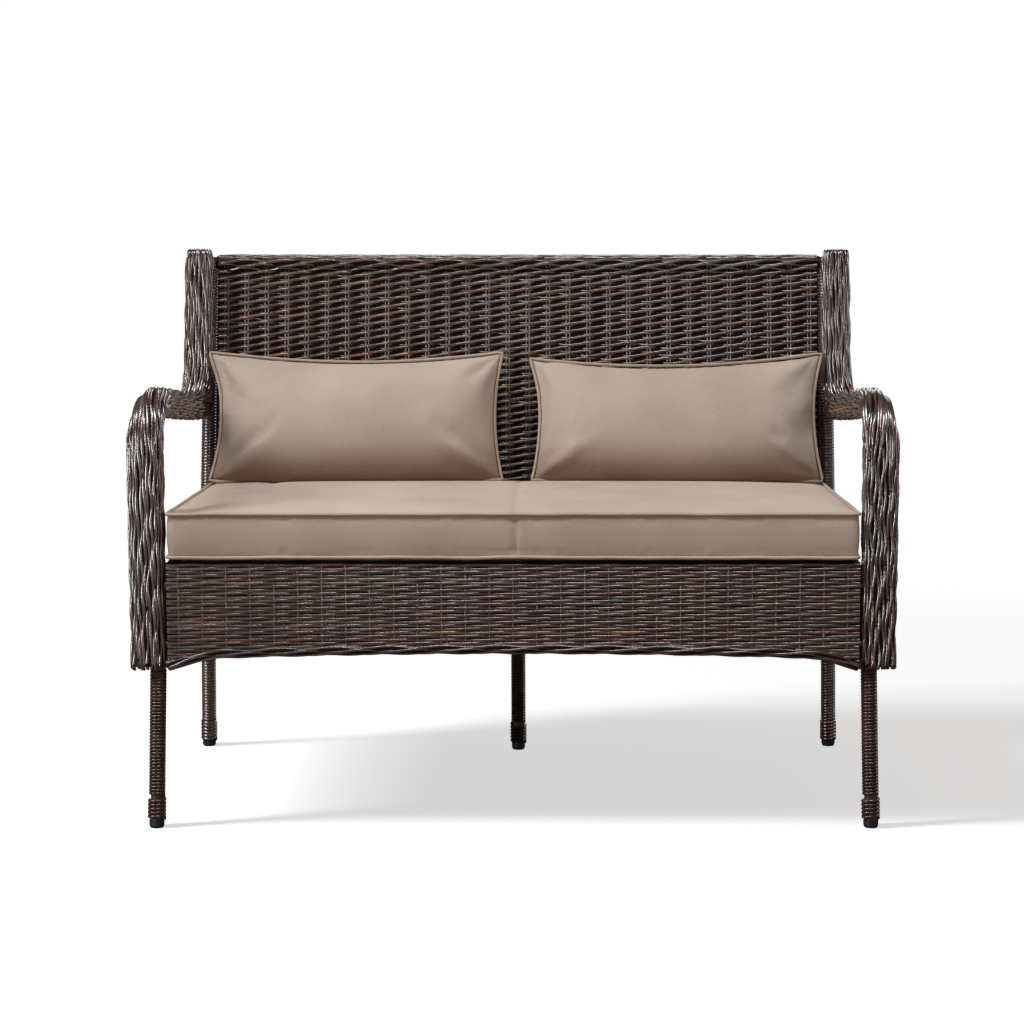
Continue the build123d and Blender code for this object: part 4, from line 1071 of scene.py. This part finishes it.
soft_pieces = [cushion, seat_welt]
for side, sx in SIDES:
    pillow_middle = Vector((sx * PILLOW_X, LEG_Y + PILLOW_SETBACK, PILLOW_Z))
    fill = search_tree(nodes[f"pillow_{side}_fill"].data)

    def pillow_place(a, b, c):
        """Point of the pillow for -1 to 1 across and up it, on its rear face for c of 0, or its front."""
        across = a * (PILLOW_HALF - SIDE_DIP * (1 - b * b))
        slump = SLUMP[side] * max(0, b) * (1 - a * 0.7)
        up = b * (PILLOW_HALF_H - (TOP_DIP if b > 0 else 0) * (1 - a * a)) - slump
        ear = EARS.get((side, a > 0, b > 0), 0)
        across += math.copysign(ear, a) * eased((abs(a) - 0.75) * 4) * eased((abs(b) - 0.3) * 1.4)
        spot = pillow_middle + Vector((across, 0, 0)) + pillow_up * up
        if 1 in (abs(a), abs(b)):
            return spot
        way = pillow_out if c else -pillow_out
        hit = fill.ray_cast(spot, way)[0]
        edge = min(1 - abs(a), (1 - abs(b)) * 0.45) * PILLOW_HALF
        depth = max((hit - spot).length if hit else 0, 2.2 * math.sqrt(edge))
        if not c:
            return spot + way * depth
        fall = BELLY_FALL * (1 - a ** 4) * (1 - b * b) ** 0.35 * (1 - 0.35 * b) / 1.2
        return spot + way * depth * (1 - 0.25 * b) - Vector((0, 0, fall))

    def pillow_limit(p, normal):
        """Folds from the corners and puckers along the seams, in front of the back and above the seat."""
        p = p.copy()
        away = p - pillow_middle
        across, up = away.x, away.dot(pillow_up)
        half_w = PILLOW_HALF - SIDE_DIP * (1 - min(1, abs(up) / 115) ** 2)
        half_h = PILLOW_HALF_H - (TOP_DIP if up > 0 else 0) * (1 - min(1, abs(across) / 255) ** 2)
        gap = min(half_w - abs(across), half_h - abs(up))
        reach = math.hypot(half_w - abs(across), half_h - abs(up))
        turn = math.atan2(half_h - abs(up), half_w - abs(across))
        phase = sx + 2 * (across > 0) + (up > 0)
        fold = math.cos(turn * 7 + phase * 2.1) * bump_at(reach, 55, 42) * eased(gap / 14)
        rim = bump_at(gap, 10, 8)
        ripple = noise.noise(Vector((across / 14, up / 14, sx * 5.1)))
        p += normal * (2.6 * fold - rim * 1.6 * abs(ripple))
        p.y = min(p.y, leaning_y(p.z) - (PANEL_HALF_T + 5.2) / math.cos(LEAN))
        return above_seat(p, 0.8)

    block = shell((84, 38, 1), pillow_place, knife=True)
    pillow = puffed(f"pillow_{side}_body", block, 9, pillow_limit, pillow_canvas)
    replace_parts(pillow, f"pillow_{side}_cover", f"pillow_{side}_fill")
    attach(pillow, f"pillow_{side}")
    ring = []
    for edge in range(4):
        for i in range(60):
            share = -1 + 2 * i / 60
            a, b = ((share, 1), (1, -share), (-share, -1), (-1, share))[edge]
            spot = pillow_place(a, b, 0)
            outward = (pillow_up * b if edge % 2 == 0 else Vector((a, 0, 0))) * 1.5
            waver = pillow_out * 0.8 * wavering(sx * 4 + edge, share * 300, 60)
            ring.append(above_seat(spot + outward + waver, 3))
    made = piping(f"pillow_{side}_welt", [ring], PILLOW_PIPING_R, f"pillow_{side}", f"pillow_{side}_piping")
    soft_pieces += [pillow, made]

# Floor, light and background: the floor keeps the shadow and turns pure white away from the seat
FLOOR_HALF, FLOOR_MIDDLE = 14, (0, 4, 0)
PALE_MIDDLE, PALE_FROM, PALE_TO = (0.5, -3.85, 0), 1.2, 2.1
WORLD_LEVEL, GLOSSY_CUT = 0.13, 0.05
LAMP_AIM = Vector((0, -0.05, 0.5))


def show(net, output_kind, seen, unseen):
    """Ends a node tree in one shader for the camera and another for all other rays."""
    to_camera = net.nodes.new("ShaderNodeLightPath").outputs["Is Camera Ray"]
    choice = add_node(net, "ShaderNodeMixShader", feeds=(to_camera, unseen.outputs[0], seen.outputs[0]))
    add_node(net, output_kind, feeds=(choice.outputs[0],))


floor_mesh = bpy.data.meshes.new("floor")
shape = bmesh.new()
bmesh.ops.create_grid(shape, x_segments=1, y_segments=1, size=FLOOR_HALF)
shape.to_mesh(floor_mesh)
shape.free()
floor = placed("floor", floor_mesh)
floor.location = FLOOR_MIDDLE
floor_material = bpy.data.materials.new("pale floor")
floor_material.use_nodes = True
net = floor_material.node_tree
net.nodes.clear()
diffuse = add_node(net, "ShaderNodeBsdfDiffuse", Color=(0.68, 0.7, 0.72, 1))
glow = add_node(net, "ShaderNodeEmission", Color=(1, 1, 1, 1), Strength=0.62)
both = add_node(net, "ShaderNodeAddShader", feeds=(diffuse.outputs[0], glow.outputs[0]))
blank = add_node(net, "ShaderNodeEmission", Color=(1, 1, 1, 1), Strength=1.0)
place = add_node(net, "ShaderNodeTexCoord").outputs["Object"]
away = add_node(net, "ShaderNodeVectorMath", {"operation": "DISTANCE"}, (place, PALE_MIDDLE))
paleness = ramped(net, away.outputs[1], PALE_FROM, PALE_TO)
pale = add_node(net, "ShaderNodeMixShader", feeds=(paleness, both.outputs[0], blank.outputs[0]))
plain = add_node(net, "ShaderNodeBsdfDiffuse", Color=(0.2, 0.17, 0.15, 1))
show(net, "ShaderNodeOutputMaterial", pale, plain)
floor_mesh.materials.append(floor_material)

world = bpy.data.worlds.new("studio")
world.use_nodes = True
scene.world = world
net = world.node_tree
net.nodes.clear()
rays = net.nodes.new("ShaderNodeLightPath")
cut = calculated(net, "MULTIPLY", rays.outputs["Is Glossy Ray"], GLOSSY_CUT)
level = calculated(net, "SUBTRACT", WORLD_LEVEL, cut)
dim = add_node(net, "ShaderNodeBackground", Color=(1, 0.86, 0.76, 1), Strength=level)
white = add_node(net, "ShaderNodeBackground", Color=(1, 1, 1, 1), Strength=1.0)
show(net, "ShaderNodeOutputWorld", white, dim)


def area_light(name, spot, size, energy, spared=(), only=(), tint=(1, 1, 1)):
    """Rectangular lamp turned to the seat, which spares some pieces or lights only some."""
    data = bpy.data.lights.new(name, "AREA")
    data.shape = "RECTANGLE"
    data.size, data.size_y = size
    data.energy = energy
    data.color = tint
    lamp = placed(name, data)
    lamp.location = spot
    lamp.rotation_euler = (LAMP_AIM - Vector(spot)).to_track_quat("-Z", "Y").to_euler()
    if spared or only:
        group = bpy.data.collections.new(f"{name} pieces")
        for piece in spared or only:
            group.objects.link(piece)
        for link in group.collection_objects:
            link.light_linking.link_state = "EXCLUDE" if spared else "INCLUDE"
        lamp.light_linking.receiver_collection = group


# Key with its shadow on the floor, a high front lamp, sheen on the strands, and light for the other sides
KEY_SPOT, KEY_SIZE = (-4.14, -1.32, 4.59), (0.8, 3.4)
area_light("key", KEY_SPOT, KEY_SIZE, 190)
area_light("floor key", KEY_SPOT, KEY_SIZE, 126, only=[floor])
area_light("front", (0.1, -1.7, 3.8), (2.0, 0.6), 66, [floor])
area_light("cushion fill", (0, -4.0, 1.3), (2.0, 0.6), 22, only=soft_pieces[:2], tint=(1, 0.85, 0.74))
area_light("left sheen", (-2.9, -2.6, 0.85), (1.0, 1.5), 78, [floor] + soft_pieces + dull_cords)
area_light("right sheen", (2.9, -2.4, 0.85), (0.7, 1.5), 13, [floor] + soft_pieces + dull_cords)
area_light("right side", (3.8, 0.8, 1.5), (1.6, 1.2), 30, [floor])
area_light("rear", (0.8, 3.6, 2.4), (3.0, 1.6), 60, [floor] + soft_pieces)

scene.view_settings.view_transform = "Standard"
for helper in (ROUND, OVAL, CORD, FLAT, FULL_ROUND):
    bpy.data.objects.remove(helper)
